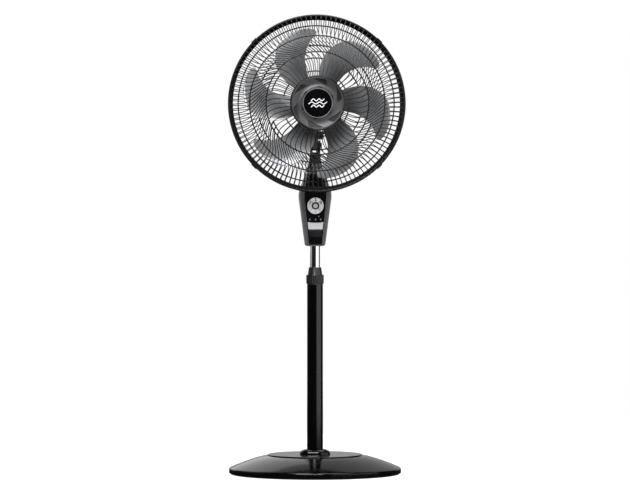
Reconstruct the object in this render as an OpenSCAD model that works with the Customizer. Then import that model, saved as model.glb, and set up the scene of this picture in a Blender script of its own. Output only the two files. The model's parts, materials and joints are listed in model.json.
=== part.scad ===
// Pedestal fan. Millimetres, +Z up, the fan faces -Y, and the origin is on the floor under the column.

/* [Base] */
// Diameter of the round base
base_d = 430; // [400:2:440]
// Height of the raised disc's top above the floor
base_h = 49; // [40:1:56]
// Diameter of the raised disc on the base
base_disc_d = 236; // [200:2:260]
// Height of the base's upright rim
base_rim_h = 15; // [12:1:18]

/* [Column] */
// Outer diameter of the lower column tube
column_d = 40; // [38:1:42]
// Height of the lower column tube's top above the floor
column_top = 473; // [440:1:500]
// Outer diameter of the inner tube
tube_d = 25; // [24:0.5:26]

/* [Control box] */
// Height of the control box's underside above the floor
box_bottom = 569; // [560:1:590]
// Width of the control box at its widest
box_w = 85.5; // [76:0.5:88]
// Width of the control box at its underside
box_bottom_w = 51; // [46:0.5:54]
// Distance from the column's axis to the box's front face
box_front_y = 34; // [32:0.5:38]
// Diameter of the ring of keys
keys_d = 40.4; // [40:0.1:42]
// Travel of a key
key_travel = 0.8; // [0.4:0.1:0.9]

/* [Head] */
// Height of the fan's axis above the floor
fan_z = 922; // [920:1:930]
// Distance from the column's axis forward to the plane where the guards meet
rim_f = 128; // [124:1:134]
// Outer diameter of the guards
guard_d = 438; // [430:2:440]
// Height of the front guard's dome
front_h = 60; // [56:1:64]
// Depth of the rear guard's bowl
rear_h = 70; // [68:1:70]
// Number of ribs on the hub side of a guard
ribs = 54; // [36:6:54]
// Outer diameter of the motor housing
motor_d = 104; // [104:1:106]

/* [Blades] */
// Diameter of the fan
fan_d = 372; // [340:2:376]
// Number of blades
blades = 6; // [3:1:7]
// Outer diameter of the blades' hub
hub_d = 116; // [110:1:120]

/* [Hidden] */
$fn = 96;
cut = 1;              // how far a cutting shape runs past the face that it cuts
gap = 0.3;            // clearance between moving bodies
running = 0.05;       // radial clearance of a running fit
facets = 32;

// base
base_r = base_d / 2;
disc_r = base_disc_d / 2;
shell_t = 3;
disc_t = shell_t + 1;
disc_edge = 1;
foot_h = 3;
foot_inset = 5;
foot_w = 12;
cover_t = 2;
cover_top = foot_h + cover_t;
cover_fit = 0.2;
cover_hole_r = 24;
weight_r = 160;
weight_h = 15;
slope_top = base_h - 2.5;
bolt_r = 6;
bolt_hole_r = bolt_r + 0.5;
bolt_head_r = 10.8;
bolt_head_h = 9;
bolt_end = 80;
washer_r = 18;
washer_t = 3;
flange_h = 13;
flange_w = 77;
flange_d = 52;
flange_shoulder = [[0, 9], [3, 4], [9, 0]];         // in from the flange's edge, and down from its top
socket_top = 110;
socket_bore_z = 90;
socket_wall = 4;
column_foot = base_h + 4;

// column and height lock
column_r = column_d / 2;
column_wall = 1.5;
spigot_r = column_r - column_wall - 0.1;
tube_r = tube_d / 2;
tube_wall = 1.2;
tube_bottom = 215;
tube_top = 600;
guide_h = 12;
guide_plug_h = 18;
sleeve_bottom = 430;
sleeve_r = spigot_r;
sleeve_wall = 1;
sleeve_slit = 2;
thread_r = 16.4;
nut_ring_h = 22;
nut_ring_r = 22;
nut_bottom = column_top + 2;
nut_h = 41;
nut_top = nut_bottom + nut_h;
nut_wall = 1.6;
nut_top_wall = 2.8;
nut_edge = 1.5;
nut_cone_h = 10;                                    // height of the cone inside the nut
nut_lip_h = 4;
cone_gap = 3;                                       // free travel of the nut above the sleeve's cone
grips = 24;
grip_r = 1.3;
grip_inset = 3;

// control box, seen from the front as widths at heights
box_wide_z = box_bottom + 132;
box_top = box_bottom + 185;
box_top_w = 46;
box_corner = 5;
box_wall = 2.5;
box_back_y = 38;
skin = 0.5;              // thickness of a slice that a hull runs between
back_taper = 0.72;
panel_bottom_w = 33;
panel_wide_w = 56.5;
panel_top_w = 38;
panel_edge = 2;
seam_widths = [box_bottom_w, box_w, box_top_w];
panel_widths = [panel_bottom_w + panel_edge, panel_wide_w + panel_edge, panel_top_w + panel_edge];
back_widths = back_taper * seam_widths;
panel_t = 2.4;
panel_inset = 4;                      // from the box's underside and top to the panel
panel_lap = 3;                        // how far the panel laps the box round its opening
panel_chamfer = 3;
panel_y = box_front_y + panel_t;      // the panel's front face
keys_z = box_bottom + 100.6;
keys_r = keys_d / 2;
key_hole_r = keys_r + 0.5;
skirt_wall = 1.1;
skirt_back_y = 29;
key_inner_r = 9.5;
key_proud = 2 * key_travel;
key_t = 5.5;
key_slit = 0.8;
stem_r = 1.8;
stem_end_y = 23;
ring_outer_r = 9.1;
ring_inner_r = 5.8;
button_r = 5.4;
key_mid_r = (keys_r + key_inner_r) / 2;
board_y = 17;
board_t = 1.6;
board_w = 32;
board_h = 110;
board_bottom = 30;
switch_h = 3.3;
switch_w = 6;
lights = [[-14, 67], [0, 67], [13, 67], [8.4, 74.5]];   // x, and height above the box's underside
light_r = 1.6;
light_proud = 0.3;
plate_bottom = 42;
plate_h = 18;
plate_bottom_w = 35;
plate_top_w = 39.5;
plate_t = 0.8;
window_bottom = 23;
window_h = 16;
window_bottom_w = 29;
window_top_w = 32;
window_t = 0.5;
post_r = 16;
post_bore_r = 14;
post_gap = box_wall + 6;              // from the box's underside and top to the post
boss_screw_r = 4;
screw_r = 1.6;
screw_grip = 3;
screw_head_r = 2.8;
screw_head_h = 1.6;
screw_heights = [60, 160];
gland_z = box_bottom + 24;
gland_r = 6;
gland_wall = 1;
gland_collar = 3;
gland_bore_r = 3.2;
gland_reach = 14;

// tilt and pan
tilt_z = 820;
neck_foot_d = 40;
neck_waist_w = 34;
neck_waist_d = 30;
neck_waist_z = box_top + 14;
neck_slice = 2;
neck_bore_r = 8.5;
hinge_r = 12;
tongue_w = 12;
fork_w = 26;
cheek_w = (fork_w - tongue_w) / 2 - gap;
cheek_drop = 5;                       // from the hinge's round down to the cheeks' foot
tilt_pin_r = 4;
tilt_head_r = 7;
tilt_head_h = 4;
pan_pin_r = 6;
bush_r = 8;
bush_flange_r = 9;
boss_bottom = tilt_z + hinge_r + 3;
boss_w = 40;
boss_d = 30;
boss_top = 856;
boss_neck_r = 10;
eye_r = 6;
eye_pin_r = 2.5;
ear_h = 7.5;
ear_drop = 0.5;
saddle_bottom = 862;
saddle_w = 26;
saddle_d = 32;
saddle_h = 14;
saddle_lift = 0.1;
pan_limit = 40;

// motor, measured forward from the column's axis
motor_r = motor_d / 2;
motor_wall = 2.5;
motor_front_f = 56;
motor_seam_f = 10;
dome_f = -70;
dome_h = 28;
snout_r = 23.4;
snout_f = 70;
bearing_r = 8;
bearing_h = 9;
bearing_wall = 4;
rear_bearing_h = 8;
housing_edge = 3;
housing_step = 0.2;
vents = 12;
vent_r = 16;
vent_l = 22;
vent_w = 4;
seam_screw_f = 4;
seam_screw_r = 1.5;
seam_angles = [30, 150, 210, 330];
seam_head_r = 3;
shaft_r = 4;
stator_r = 45;
stator_back_f = -5;
stator_front_f = 30;
rotor_r = 26;
air_gap = 0.5;
rotor_inset = 2;
winding_slots = 16;
slot_r = 2.8;
slot_ring_r = 33.5;
winding_inner_r = 28;
winding_outer_r = 41;
winding_h = 11;
lip_back_f = -2;
worm_back_f = -52;
worm_front_f = -30;
worm_pitch = 3.6;
gear_front_f = -24;
gear_back_f = -73;
gearbox_wall = 2;
gearbox_plate_t = 3;
gearbox_seat_h = 5;
gearbox_hole_r = 10;
gearbox_hole_ring_r = 32;
gearbox_left = -10;
gearbox_right = 38.6;
gearbox_floor = fan_z - 27;
gearbox_top = fan_z + 12;
mesh_gap = 0.4;
wheel_r = 12.9;
wheel_teeth = 30;
wheel_x = shaft_r + mesh_gap + wheel_r;
pinion_r = 4;
pinion_teeth = 9;
crank_gear_r = 10.4;
crank_teeth = 24;
wheel_t = 10;
tooth_h = 1.3;
gear_z = fan_z - 23;
gear_t = 6;
crank_shaft_r = 3.5;
link_pin_r = 26;                                    // pan axis to the link's fixed pivot
crank_throw = link_pin_r * sin(pan_limit);
crank_x = link_pin_r;
crank_y = 58;
mesh_r = pinion_r + mesh_gap + crank_gear_r;
wheel_y = crank_y - sqrt(mesh_r * mesh_r - (crank_x - wheel_x) * (crank_x - wheel_x));
crank_disc_top = fan_z - motor_r - 2;
crank_disc_t = 4;
crank_pin_r = 3;
link_bottom = boss_top + 1;
link_t = 3.5;
link_w = 8;
knob_stem_r = 3;
knob_r = 8;
knob_h = 15;
knob_waist = [[2, 0], [1, 8], [0, 11], [1, 14]];    // in from the knob's radius, and up from its underside

// guards, measured forward from the plane where they meet
guard_r = guard_d / 2;
rib_w = 2.2;
rib_depth = 3.6;
ring_w = 3.2;
ring_proud = 0.4;
hub_ring_r = 66;
front_rings = [126, 166];
front_turn = [0, 4.5, 21.6, 24];                    // swirl of a front rib at hub, rings and rim
rear_hub_r = 60;
rear_rings = [82, 114, 145, 193];
rear_turn = [0, 3, 16, 18];
front_rim_w = 5;
front_rim_h = 9;
rear_rim_w = 13;
rear_rim_h = 24;
rim_wall = 2.5;
half_pitch = 180 / ribs;
rim_steps = 5;                                      // straight steps of a rib's outer span
latch_w = 16;
latch_t = 1.8;
latch_count = 4;
latch_drop = 12;
nut_t = 8;
guard_nut_r = 34;
guard_nut_grip_r = 4;
hub_plate_t = 3.5;
hub_ring_w = 4;
hub_ring_h = 6.5;

// front cap
cap_r = hub_ring_r - ring_w / 2 - 0.2;
cap_back = 50;
cap_front = front_h - 0.5;
cap_rim_t = 2.5;
cap_wall = 3.5;
recess_inner_r = 48;
recess_outer_r = 60;
recess_depth = 2.5;
recess_turn = 42;
disc_seat = 1.5;
disc_edge_r = 34.6;
light_ring_r = 37;

// blades, measured forward from the plane where the guards meet
tip_r = fan_d / 2;
hub_r = hub_d / 2;
hub_back = -32;
hub_front = 22;
hub_wall = 3;
hub_core_r = 10;
hub_core_back = hub_back + 12;
hub_slope = 8;
blade_root_r = hub_r - 1.5;
blade_swept_r = 66;
blade_turn = 126.5;
blade_sweep = 26;
blade_w = 41;
blade_narrowing = 7;
blade_pitch_h = 52;
blade_flattening = 14;
blade_camber = 5;
blade_t = 2;
chord_steps = 7;
span_steps = 8;
blade_nut_r = 15;
blade_nut_h = 19;
blade_nut_grips = 8;
shaft_front_f = rim_f + hub_front + 15;
pin_r = 1.25;
pin_l = 18;
pin_f = rim_f + hub_core_back - pin_r;

function polar(r, a) = [r * cos(a), r * sin(a)];
function front_z(r) = front_h * pow(1 - pow(r / guard_r, 2.2), 0.55);
function rear_z(r) = -rear_h * pow(1 - pow(r / guard_r, 4), 0.5);
function slope_z(t) = slope_top - (slope_top - base_rim_h) * pow(t, 1.35);
function slope_r(t) = disc_r + (base_r - disc_r) * t;

// a line across the base's slope, from the rim to the raised disc, moved down by drop
function slope_line(drop, steps = 8) = [
    for (i = [steps : -1 : 0]) [slope_r(i / steps) - (i == steps ? drop : 0), slope_z(i / steps) - drop]
];

function tooth_line(teeth, r, depth) = [
    for (i = [0 : teeth - 1], k = [0 : 3])
        polar(k == 1 || k == 2 ? r : r - depth, (i + [0, 0.2, 0.4, 0.6][k]) * 360 / teeth)
];

// moves a shape that is made about Z, and measured forward, onto the fan's axis
module on_fan_axis() {
    translate([0, 0, fan_z])
        rotate([90, 0, 0])
            children();
}

module turned(points) {
    rotate_extrude()
        polygon(points);
}

module tube(outer, inner, low, high) {
    translate([0, 0, low])
        difference() {
            cylinder(r = outer, h = high - low);
            translate([0, 0, -cut])
                cylinder(r = inner, h = high - low + 2 * cut);
        }
}

module rod(r, low, high) {
    translate([0, 0, low])
        cylinder(r = r, h = high - low);
}

// ---- base and column ----

module base_shell() {
    inner_slope = slope_line(shell_t);
    color("#101113")
        turned(concat(
            [[base_r - shell_t, foot_h], [base_r, foot_h]],
            slope_line(0),
            [[disc_r, base_h - disc_edge], [disc_r - disc_edge, base_h], [bolt_hole_r, base_h]],
            [[bolt_hole_r, base_h - disc_t], [disc_r - disc_t, base_h - disc_t]],
            [for (i = [len(inner_slope) - 1 : -1 : 0]) inner_slope[i]]
        ));
}

module base_weight() {
    color("#6a6a68")
        tube(weight_r, cover_hole_r, cover_top, cover_top + weight_h);
}

module base_cover() {
    color("#1b1b1c")
        tube(base_r - shell_t - cover_fit, cover_hole_r, foot_h, cover_top);
}

module foot_ring() {
    color("#222222")
        tube(base_r - foot_inset, base_r - foot_inset - foot_w, 0, foot_h);
}

module flange_dome() {
    r = flange_w / 2;
    intersection() {
        turned(concat(
            [[0, 0], [r, 0]],
            [for (p = flange_shoulder) [r - p.x, flange_h - p.y]],
            [[0, flange_h]]
        ));
        translate([-r, -flange_d / 2, 0])
            cube([flange_w, flange_d, flange_h]);
    }
}

module column_socket() {
    color("#17181a")
        difference() {
            union() {
                translate([0, 0, base_h])
                    flange_dome();
                rod(spigot_r, base_h, socket_top);
            }
            tube(column_r, spigot_r, column_foot, socket_top + cut);
            rod(bolt_r, base_h - cut, socket_bore_z);
            rod(spigot_r - socket_wall, socket_bore_z, socket_top + cut);
        }
}

module base_bolt() {
    head_bottom = base_h - disc_t - washer_t - bolt_head_h;
    color("#a8a9ab") {
        translate([0, 0, head_bottom])
            cylinder(r = bolt_head_r, h = bolt_head_h, $fn = 6);
        rod(bolt_r - 0.1, head_bottom + bolt_head_h, bolt_end);
    }
}

module base_washer() {
    washer_top = base_h - disc_t;
    color("#b5b6b8")
        tube(washer_r, bolt_r, washer_top - washer_t, washer_top);
}

module outer_column() {
    color("#0d0e10")
        tube(column_r - running, column_r - column_wall, column_foot, column_top);
}

module height_sleeve() {
    bore = tube_r + running;
    cone_bottom = nut_top - nut_lip_h - nut_cone_h - cone_gap;
    cone_top = cone_bottom + nut_cone_h;
    color("#2a2b2d")
        difference() {
            turned([
                [bore, sleeve_bottom], [sleeve_r, sleeve_bottom], [sleeve_r, column_top],
                [column_r, column_top], [column_r, nut_bottom - gap], [thread_r, nut_bottom - gap],
                [thread_r, cone_bottom], [bore + sleeve_wall, cone_top], [bore, cone_top]
            ]);
            for (a = [0 : 90 : 270])
                rotate([0, 0, a])
                    translate([0, -sleeve_slit / 2, nut_bottom + 2 * sleeve_slit])
                        cube([column_r, sleeve_slit, nut_top]);
        }
}

module height_nut() {
    bore = thread_r + gap;
    ring_top = nut_bottom + nut_ring_h;
    lip_bottom = nut_top - nut_lip_h;
    color("#1a1b1d")
        difference() {
            turned([
                [bore, nut_bottom], [nut_ring_r - nut_edge, nut_bottom], [nut_ring_r, nut_bottom + nut_edge],
                [nut_ring_r, ring_top - nut_edge], [nut_ring_r - nut_edge, ring_top],
                [thread_r + nut_wall, ring_top], [tube_r + nut_top_wall, nut_top],
                [tube_r + gap, nut_top], [tube_r + gap, lip_bottom], [bore, lip_bottom - nut_cone_h]
            ]);
            for (i = [0 : grips - 1])
                rotate([0, 0, i * 360 / grips])
                    translate([nut_ring_r + grip_r / 2, 0, nut_bottom + grip_inset])
                        cylinder(r = grip_r, h = nut_ring_h - 2 * grip_inset, $fn = facets);
        }
}

module inner_tube() {
    color("#d4d6d8")
        tube(tube_r, tube_r - tube_wall, tube_bottom, tube_top);
}

module tube_guide() {
    color("#3a3b3d") {
        rod(column_r - column_wall - gap, tube_bottom - guide_h, tube_bottom);
        rod(tube_r - tube_wall, tube_bottom, tube_bottom + guide_plug_h);
    }
}

// ---- control box ----

// the round corners of the box seen from the front; widths are at its underside, widest level and top
module box_corners(widths, inset) {
    r = box_corner;
    levels = [box_bottom + r + inset, box_wide_z, box_top - r - inset];
    for (side = [-1, 1], i = [0 : 2])
        translate([side * (widths[i] / 2 - r - inset), levels[i]])
            circle(r = r, $fn = facets);
}

// a thin slice of the box, from y to y + skin
module box_slice(y, widths, inset) {
    translate([0, y + skin, 0])
        rotate([90, 0, 0])
            linear_extrude(skin)
                hull()
                    box_corners(widths, inset);
}

// one half of the box, from the seam to its outer face: side is -1 in front and 1 behind
module box_half(side, depth, face_widths, inset = 0) {
    behind = side > 0 ? 0 : skin;
    past_seam = inset > 0 ? side * cut : 0;
    hull() {
        box_slice(-past_seam - behind, seam_widths, inset);
        box_slice(side * (depth - inset) - skin + behind, face_widths, inset);
    }
}

module panel_plate(inset, low_y, high_y) {
    half_bottom = panel_bottom_w / 2 - inset;
    half_wide = panel_wide_w / 2 - inset;
    half_top = panel_top_w / 2 - inset;
    low_z = box_bottom + panel_inset + inset;
    high_z = box_top - panel_inset - inset;
    c = panel_chamfer;
    translate([0, -low_y, 0])
        rotate([90, 0, 0])
            linear_extrude(high_y - low_y)
                polygon([
                    [c - half_bottom, low_z], [half_bottom - c, low_z],
                    [half_bottom, low_z + c], [half_wide, box_wide_z],
                    [half_top, high_z - c], [half_top - c, high_z],
                    [c - half_top, high_z], [-half_top, high_z - c],
                    [-half_wide, box_wide_z], [-half_bottom, low_z + c]
                ]);
}

// moves a shape that is made about Z onto the key ring's axis, measured forward
module on_key_axis() {
    translate([0, 0, keys_z])
        rotate([90, 0, 0])
            children();
}

module box_front() {
    color("#5a5c60")
        difference() {
            box_half(-1, box_front_y, panel_widths);
            box_half(-1, box_front_y, panel_widths, box_wall);
            panel_plate(panel_lap, 0, box_front_y + cut);
            box_ends();
        }
}

// the holes for the inner tube below and the neck above
module box_ends() {
    rod(tube_r + 0.1, box_bottom - cut, box_bottom + 2 * box_wall);
    rod(post_bore_r, box_top - 2 * box_wall, box_top + cut);
}

module box_back() {
    boss_back_y = box_back_y - cut;
    color("#4c4e52")
        difference() {
            union() {
                difference() {
                    box_half(1, box_back_y, back_widths);
                    box_half(1, box_back_y, back_widths, box_wall);
                }
                for (h = screw_heights)
                    translate([0, boss_back_y, box_bottom + h])
                        rotate([90, 0, 0])
                            cylinder(r = boss_screw_r, h = boss_back_y - post_r - gap);
            }
            for (h = screw_heights)
                translate([0, box_back_y + cut, box_bottom + h])
                    rotate([90, 0, 0])
                        cylinder(r = screw_r, h = box_back_y);
            translate([0, box_back_y + cut, gland_z])
                rotate([90, 0, 0])
                    cylinder(r = gland_r - gland_wall, h = 2 * box_wall + cut);
            box_ends();
        }
}

module neck() {
    color("#141517")
        difference() {
            union() {
                rod(post_r, box_bottom + post_gap, box_top - post_gap);
                rod(post_bore_r, box_top - post_gap - cut, box_top + cut);
                hull() {
                    slice(box_top_w, neck_foot_d, box_top, 3);
                    slice(neck_waist_w, neck_waist_d, neck_waist_z, neck_slice);
                }
                hull() {
                    slice(neck_waist_w, neck_waist_d, neck_waist_z, neck_slice);
                    slice(fork_w, 2 * hinge_r, tilt_z - hinge_r - cheek_drop - cut, neck_slice);
                }
                for (x = [-fork_w / 2, tongue_w / 2 + gap]) {
                    translate([x, -hinge_r, tilt_z - hinge_r - cheek_drop])
                        cube([cheek_w, 2 * hinge_r, hinge_r + cheek_drop]);
                    translate([x, 0, tilt_z])
                        rotate([0, 90, 0])
                            cylinder(r = hinge_r, h = cheek_w);
                }
            }
            rod(tube_r, box_bottom, tube_top);
            rod(neck_bore_r, box_bottom, tilt_z - 2 * hinge_r - 2 * cheek_drop);
            translate([-fork_w, 0, tilt_z])
                rotate([0, 90, 0])
                    cylinder(r = tilt_pin_r, h = 2 * fork_w);
            for (h = screw_heights)
                translate([0, post_r + cut, box_bottom + h])
                    rotate([90, 0, 0])
                        cylinder(r = screw_r, h = screw_grip + 2 * cut);
        }
}

// a flat block centred on the column's axis
module slice(w, d, low, h) {
    translate([-w / 2, -d / 2, low])
        cube([w, d, h]);
}

module control_panel() {
    color("#0c0c0e")
        difference() {
            union() {
                panel_plate(0, box_front_y, panel_y);
                on_key_axis()
                    rod(key_hole_r + skirt_wall, skirt_back_y, panel_y - 1);
            }
            on_key_axis()
                rod(key_hole_r, skirt_back_y - cut, panel_y + cut);
            for (p = lights)
                translate([p.x, 0, box_bottom + p.y])
                    rotate([90, 0, 0])
                        rod(light_r, box_front_y - cut, panel_y + cut);
        }
}

module button_ring() {
    color("#08080a")
        on_key_axis()
            difference() {
                union() {
                    tube(ring_outer_r, ring_inner_r, skirt_back_y - 2, panel_y + key_proud + 0.4);
                    rod(key_hole_r + skirt_wall, skirt_back_y - 2, skirt_back_y);
                }
                for (a = [0 : 90 : 270])
                    rotate([0, 0, a])
                        translate([key_mid_r, 0, 0])
                            rod(stem_r + gap, skirt_back_y - 3, skirt_back_y + cut);
                rod(stem_r + gap, skirt_back_y - 3, skirt_back_y + cut);
            }
}

// one quarter of the silver key ring, centred on angle a, with its stem
module ring_key(a) {
    front = panel_y + key_proud;
    color("#c9cbcd")
        on_key_axis()
            rotate([0, 0, a]) {
                difference() {
                    rotate([0, 0, -45])
                        rotate_extrude(angle = 90)
                            translate([key_inner_r, front - key_t])
                                square([keys_r - key_inner_r, key_t]);
                    for (side = [-1, 1])
                        rotate([0, 0, side * 45])
                            translate([0, -key_slit / 2, 0])
                                cube([keys_r + cut, key_slit, front + cut]);
                }
                translate([key_mid_r, 0, 0])
                    rod(stem_r, stem_end_y, front - key_t + 1);
            }
}

module speed_key_1() {
    ring_key(180);
}

module speed_key_2() {
    ring_key(90);
}

module speed_key_3() {
    ring_key(0);
}

module timer_key() {
    ring_key(270);
}

module power_button() {
    front = panel_y + key_proud + 0.6;
    color("#dcdddf")
        on_key_axis() {
            rod(button_r, front - key_t, front);
            rod(stem_r, stem_end_y, front - key_t);
        }
}

module indicator_lights() {
    color("#8f9396")
        for (p = lights)
            translate([p.x, 0, box_bottom + p.y])
                rotate([90, 0, 0])
                    rod(light_r, box_front_y, panel_y + light_proud);
}

module panel_label(low, high, low_w, high_w, thick) {
    translate([0, -panel_y, box_bottom])
        rotate([90, 0, 0])
            linear_extrude(thick)
                polygon([[-low_w / 2, low], [low_w / 2, low], [high_w / 2, high], [-high_w / 2, high]]);
}

module name_plate() {
    color("#d0d2d4")
        panel_label(plate_bottom, plate_bottom + plate_h, plate_bottom_w, plate_top_w, plate_t);
}

module receiver_window() {
    color("#26272b")
        panel_label(window_bottom, window_bottom + window_h, window_bottom_w, window_top_w, window_t);
}

module circuit_board() {
    color("#2f6b3c")
        translate([-board_w / 2, -board_y - board_t, box_bottom + board_bottom])
            cube([board_w, board_t, board_h]);
}

module key_switches() {
    color("#33343a")
        for (a = [-1 : 3]) {
            off = a < 0 ? [0, 0] : polar(key_mid_r, a * 90);
            translate([off.x - switch_w / 2, -board_y - board_t - switch_h, keys_z + off.y - switch_w / 2])
                cube([switch_w, switch_h, switch_w]);
        }
}

module box_screws() {
    color("#9a9b9d")
        for (h = screw_heights)
            translate([0, 0, box_bottom + h])
                rotate([-90, 0, 0]) {
                    rod(screw_r, post_r - screw_grip, box_back_y + 0.4);
                    rod(screw_head_r, box_back_y, box_back_y + screw_head_h);
                }
}

module cord_gland() {
    inner_y = -box_wall - gland_wall;
    color("#161616")
        translate([0, box_back_y, gland_z])
            rotate([-90, 0, 0])
                turned([
                    [gland_bore_r, inner_y], [gland_r - gland_wall, inner_y], [gland_r - gland_wall, 0],
                    [gland_r, 0], [gland_r, gland_collar], [gland_bore_r + gland_wall, gland_reach],
                    [gland_bore_r, gland_reach]
                ]);
}

module tilt_bolt() {
    color("#a9abad")
        translate([0, 0, tilt_z])
            rotate([0, 90, 0]) {
                rod(tilt_pin_r, -fork_w / 2, fork_w / 2);
                for (x = [-fork_w / 2 - tilt_head_h, fork_w / 2])
                    translate([0, 0, x])
                        cylinder(r = tilt_head_r, h = tilt_head_h, $fn = 6);
            }
}

// ---- tilt bracket and pan pivot ----

module tilt_bracket() {
    tongue_r = hinge_r - 1;
    ear_top = boss_top - ear_drop;
    color("#2c2d30")
        difference() {
            union() {
                translate([-tongue_w / 2, 0, tilt_z])
                    rotate([0, 90, 0])
                        cylinder(r = tongue_r, h = tongue_w);
                slice(tongue_w, 2 * tongue_r, tilt_z, boss_bottom - tilt_z + cut);
                slice(boss_w, boss_d, boss_bottom, ear_top - boss_bottom);
                rod(boss_neck_r, boss_bottom, boss_top);
                translate([0, -eye_r, ear_top - ear_h])
                    cube([link_pin_r, 2 * eye_r, ear_h]);
                translate([link_pin_r, 0, 0])
                    rod(eye_r, ear_top - ear_h, ear_top);
            }
            rod(bush_r, boss_bottom - cut, boss_top + cut);
            translate([link_pin_r, 0, 0])
                rod(eye_pin_r, ear_top - ear_h - cut, boss_top + cut);
            translate([-tongue_w, 0, tilt_z])
                rotate([0, 90, 0])
                    cylinder(r = tilt_pin_r + running, h = 2 * tongue_w);
        }
}

module pan_bush() {
    bore = pan_pin_r + running;
    color("#c2a25a") {
        tube(bush_r, bore, boss_bottom - 1, boss_top);
        tube(bush_flange_r, bore, boss_top, saddle_bottom - saddle_lift);
    }
}

module pan_pin() {
    color("#b4b6b8")
        rod(pan_pin_r, boss_bottom, fan_z - motor_r - 0.5);
}

module motor_saddle() {
    color("#3c3d40")
        difference() {
            slice(saddle_w, saddle_d, saddle_bottom, saddle_h);
            on_fan_axis()
                rod(motor_r + running, -saddle_d, saddle_d);
            rod(pan_pin_r, saddle_bottom - cut, saddle_bottom + saddle_h + cut);
        }
}

// ---- motor ----

// rods across the motor's seam, from r1 to r2
module seam_rods(r, r1, r2) {
    for (a = seam_angles)
        rotate([0, 0, a])
            translate([0, 0, seam_screw_f])
                rotate([0, 90, 0])
                    rod(r, r1, r2);
}

module seam_screws() {
    seam_rods(seam_screw_r, stator_r + 0.5, motor_r + 0.4);
}

module front_housing() {
    wall_f = motor_front_f - housing_edge;
    inner_r = motor_r - motor_wall;
    lip_r = inner_r - housing_step;
    seat_r = bearing_r + bearing_wall;
    color("#1d1e20")
        on_fan_axis()
            difference() {
                turned([
                    [bearing_r, motor_front_f - bearing_h], [seat_r, motor_front_f - bearing_h],
                    [seat_r, wall_f], [inner_r, wall_f],
                    [inner_r, stator_front_f + 4], [stator_r, stator_front_f],
                    [stator_r, lip_back_f], [lip_r, lip_back_f], [lip_r, motor_seam_f],
                    [motor_r, motor_seam_f], [motor_r, wall_f], [motor_r - housing_edge, motor_front_f],
                    [snout_r, motor_front_f], [snout_r, snout_f], [snout_r - housing_edge, snout_f],
                    [snout_r - housing_edge, motor_front_f], [bearing_r, motor_front_f]
                ]);
                seam_screws();
            }
}

// a quarter ellipse from the motor's side to the middle of its back
function dome_line(r, h, steps = 10) = [
    for (i = [0 : steps]) [r * cos(90 * i / steps), dome_f - h * sin(90 * i / steps)]
];

module rear_housing() {
    inner_r = motor_r - motor_wall;
    inner_line = dome_line(inner_r, dome_h - motor_wall);
    last = len(inner_line) - 1;
    color("#1a1b1d")
        difference() {
            on_fan_axis()
                difference() {
                    turned(concat(
                        [[inner_r, motor_seam_f], [motor_r, motor_seam_f]],
                        dome_line(motor_r, dome_h),
                        [for (i = [last : -1 : 0]) inner_line[i]]
                    ));
                    seam_screws();
                    for (i = [0 : vents - 1])
                        rotate([0, 0, i * 360 / vents])
                            translate([vent_r, -vent_w / 2, dome_f - dome_h - cut])
                                cube([vent_l, vent_w, dome_h - 2]);
                }
            translate([crank_x, crank_y, 0])
                rod(crank_shaft_r + 5 * gap, fan_z - motor_r - cut, fan_z - 20);
            translate([wheel_x, wheel_y, 0])
                rod(knob_stem_r + gap, fan_z + 30, fan_z + motor_r + cut);
        }
}

module housing_screws() {
    color("#97999b")
        on_fan_axis() {
            seam_screws();
            seam_rods(seam_head_r, motor_r + 0.1, motor_r + 1.6);
        }
}

module stator_core() {
    color("#7d7f83")
        on_fan_axis()
            difference() {
                tube(stator_r, rotor_r + air_gap, stator_back_f, stator_front_f);
                for (i = [0 : winding_slots - 1])
                    rotate([0, 0, i * 360 / winding_slots])
                        translate([slot_ring_r, 0, 0])
                            rod(slot_r, stator_back_f - cut, stator_front_f + cut);
            }
}

module stator_windings() {
    r1 = winding_inner_r;
    r2 = winding_outer_r;
    h = winding_h;
    color("#b5652a")
        on_fan_axis()
            for (low = [stator_front_f, stator_back_f - h])
                translate([0, 0, low])
                    turned([
                        [r1 + 1, 0], [r2 - 1, 0], [r2, 2], [r2, h - 2],
                        [r2 - 2, h], [r1 + 2, h], [r1, h - 2], [r1, 2]
                    ]);
}

module front_bearing() {
    color("#c0a468")
        on_fan_axis()
            tube(bearing_r, shaft_r + running, motor_front_f - bearing_h, motor_front_f);
}

module rear_bearing() {
    seat_f = gear_front_f + gearbox_seat_h;
    color("#c0a468")
        on_fan_axis()
            tube(bearing_r, shaft_r + running, seat_f - rear_bearing_h, seat_f);
}

module gearbox_housing() {
    wall = gearbox_wall;
    seat_f = gear_front_f + gearbox_seat_h;
    depth = gear_front_f - gear_back_f;
    color("#d8d8d2")
        difference() {
            union() {
                translate([gearbox_left, -gear_front_f, gearbox_floor])
                    cube([gearbox_right - gearbox_left, depth, gearbox_top - gearbox_floor]);
                on_fan_axis() {
                    rod(motor_r - motor_wall - 0.1, gear_front_f, gear_front_f + gearbox_plate_t);
                    rod(bearing_r + bearing_wall, gear_front_f, seat_f);
                }
            }
            translate([gearbox_left + wall, gearbox_seat_h - gear_front_f, gearbox_floor + wall])
                cube([gearbox_right - gearbox_left - 2 * wall, depth - gearbox_seat_h - wall, gearbox_top]);
            on_fan_axis() {
                rod(bearing_r, seat_f - rear_bearing_h, seat_f + cut);
                rod(shaft_r + 1, gear_front_f - gearbox_seat_h - cut, gear_front_f);
                for (a = [60 : 60 : 360])
                    rotate([0, 0, a])
                        translate([gearbox_hole_ring_r, 0, 0])
                            rod(gearbox_hole_r, gear_front_f - (a > 90 && a < 270 ? 0 : -1.5), seat_f + cut);
            }
            translate([crank_x, crank_y, 0])
                rod(crank_shaft_r + gap, gearbox_floor - cut, gearbox_floor + wall + cut);
        }
}

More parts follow.
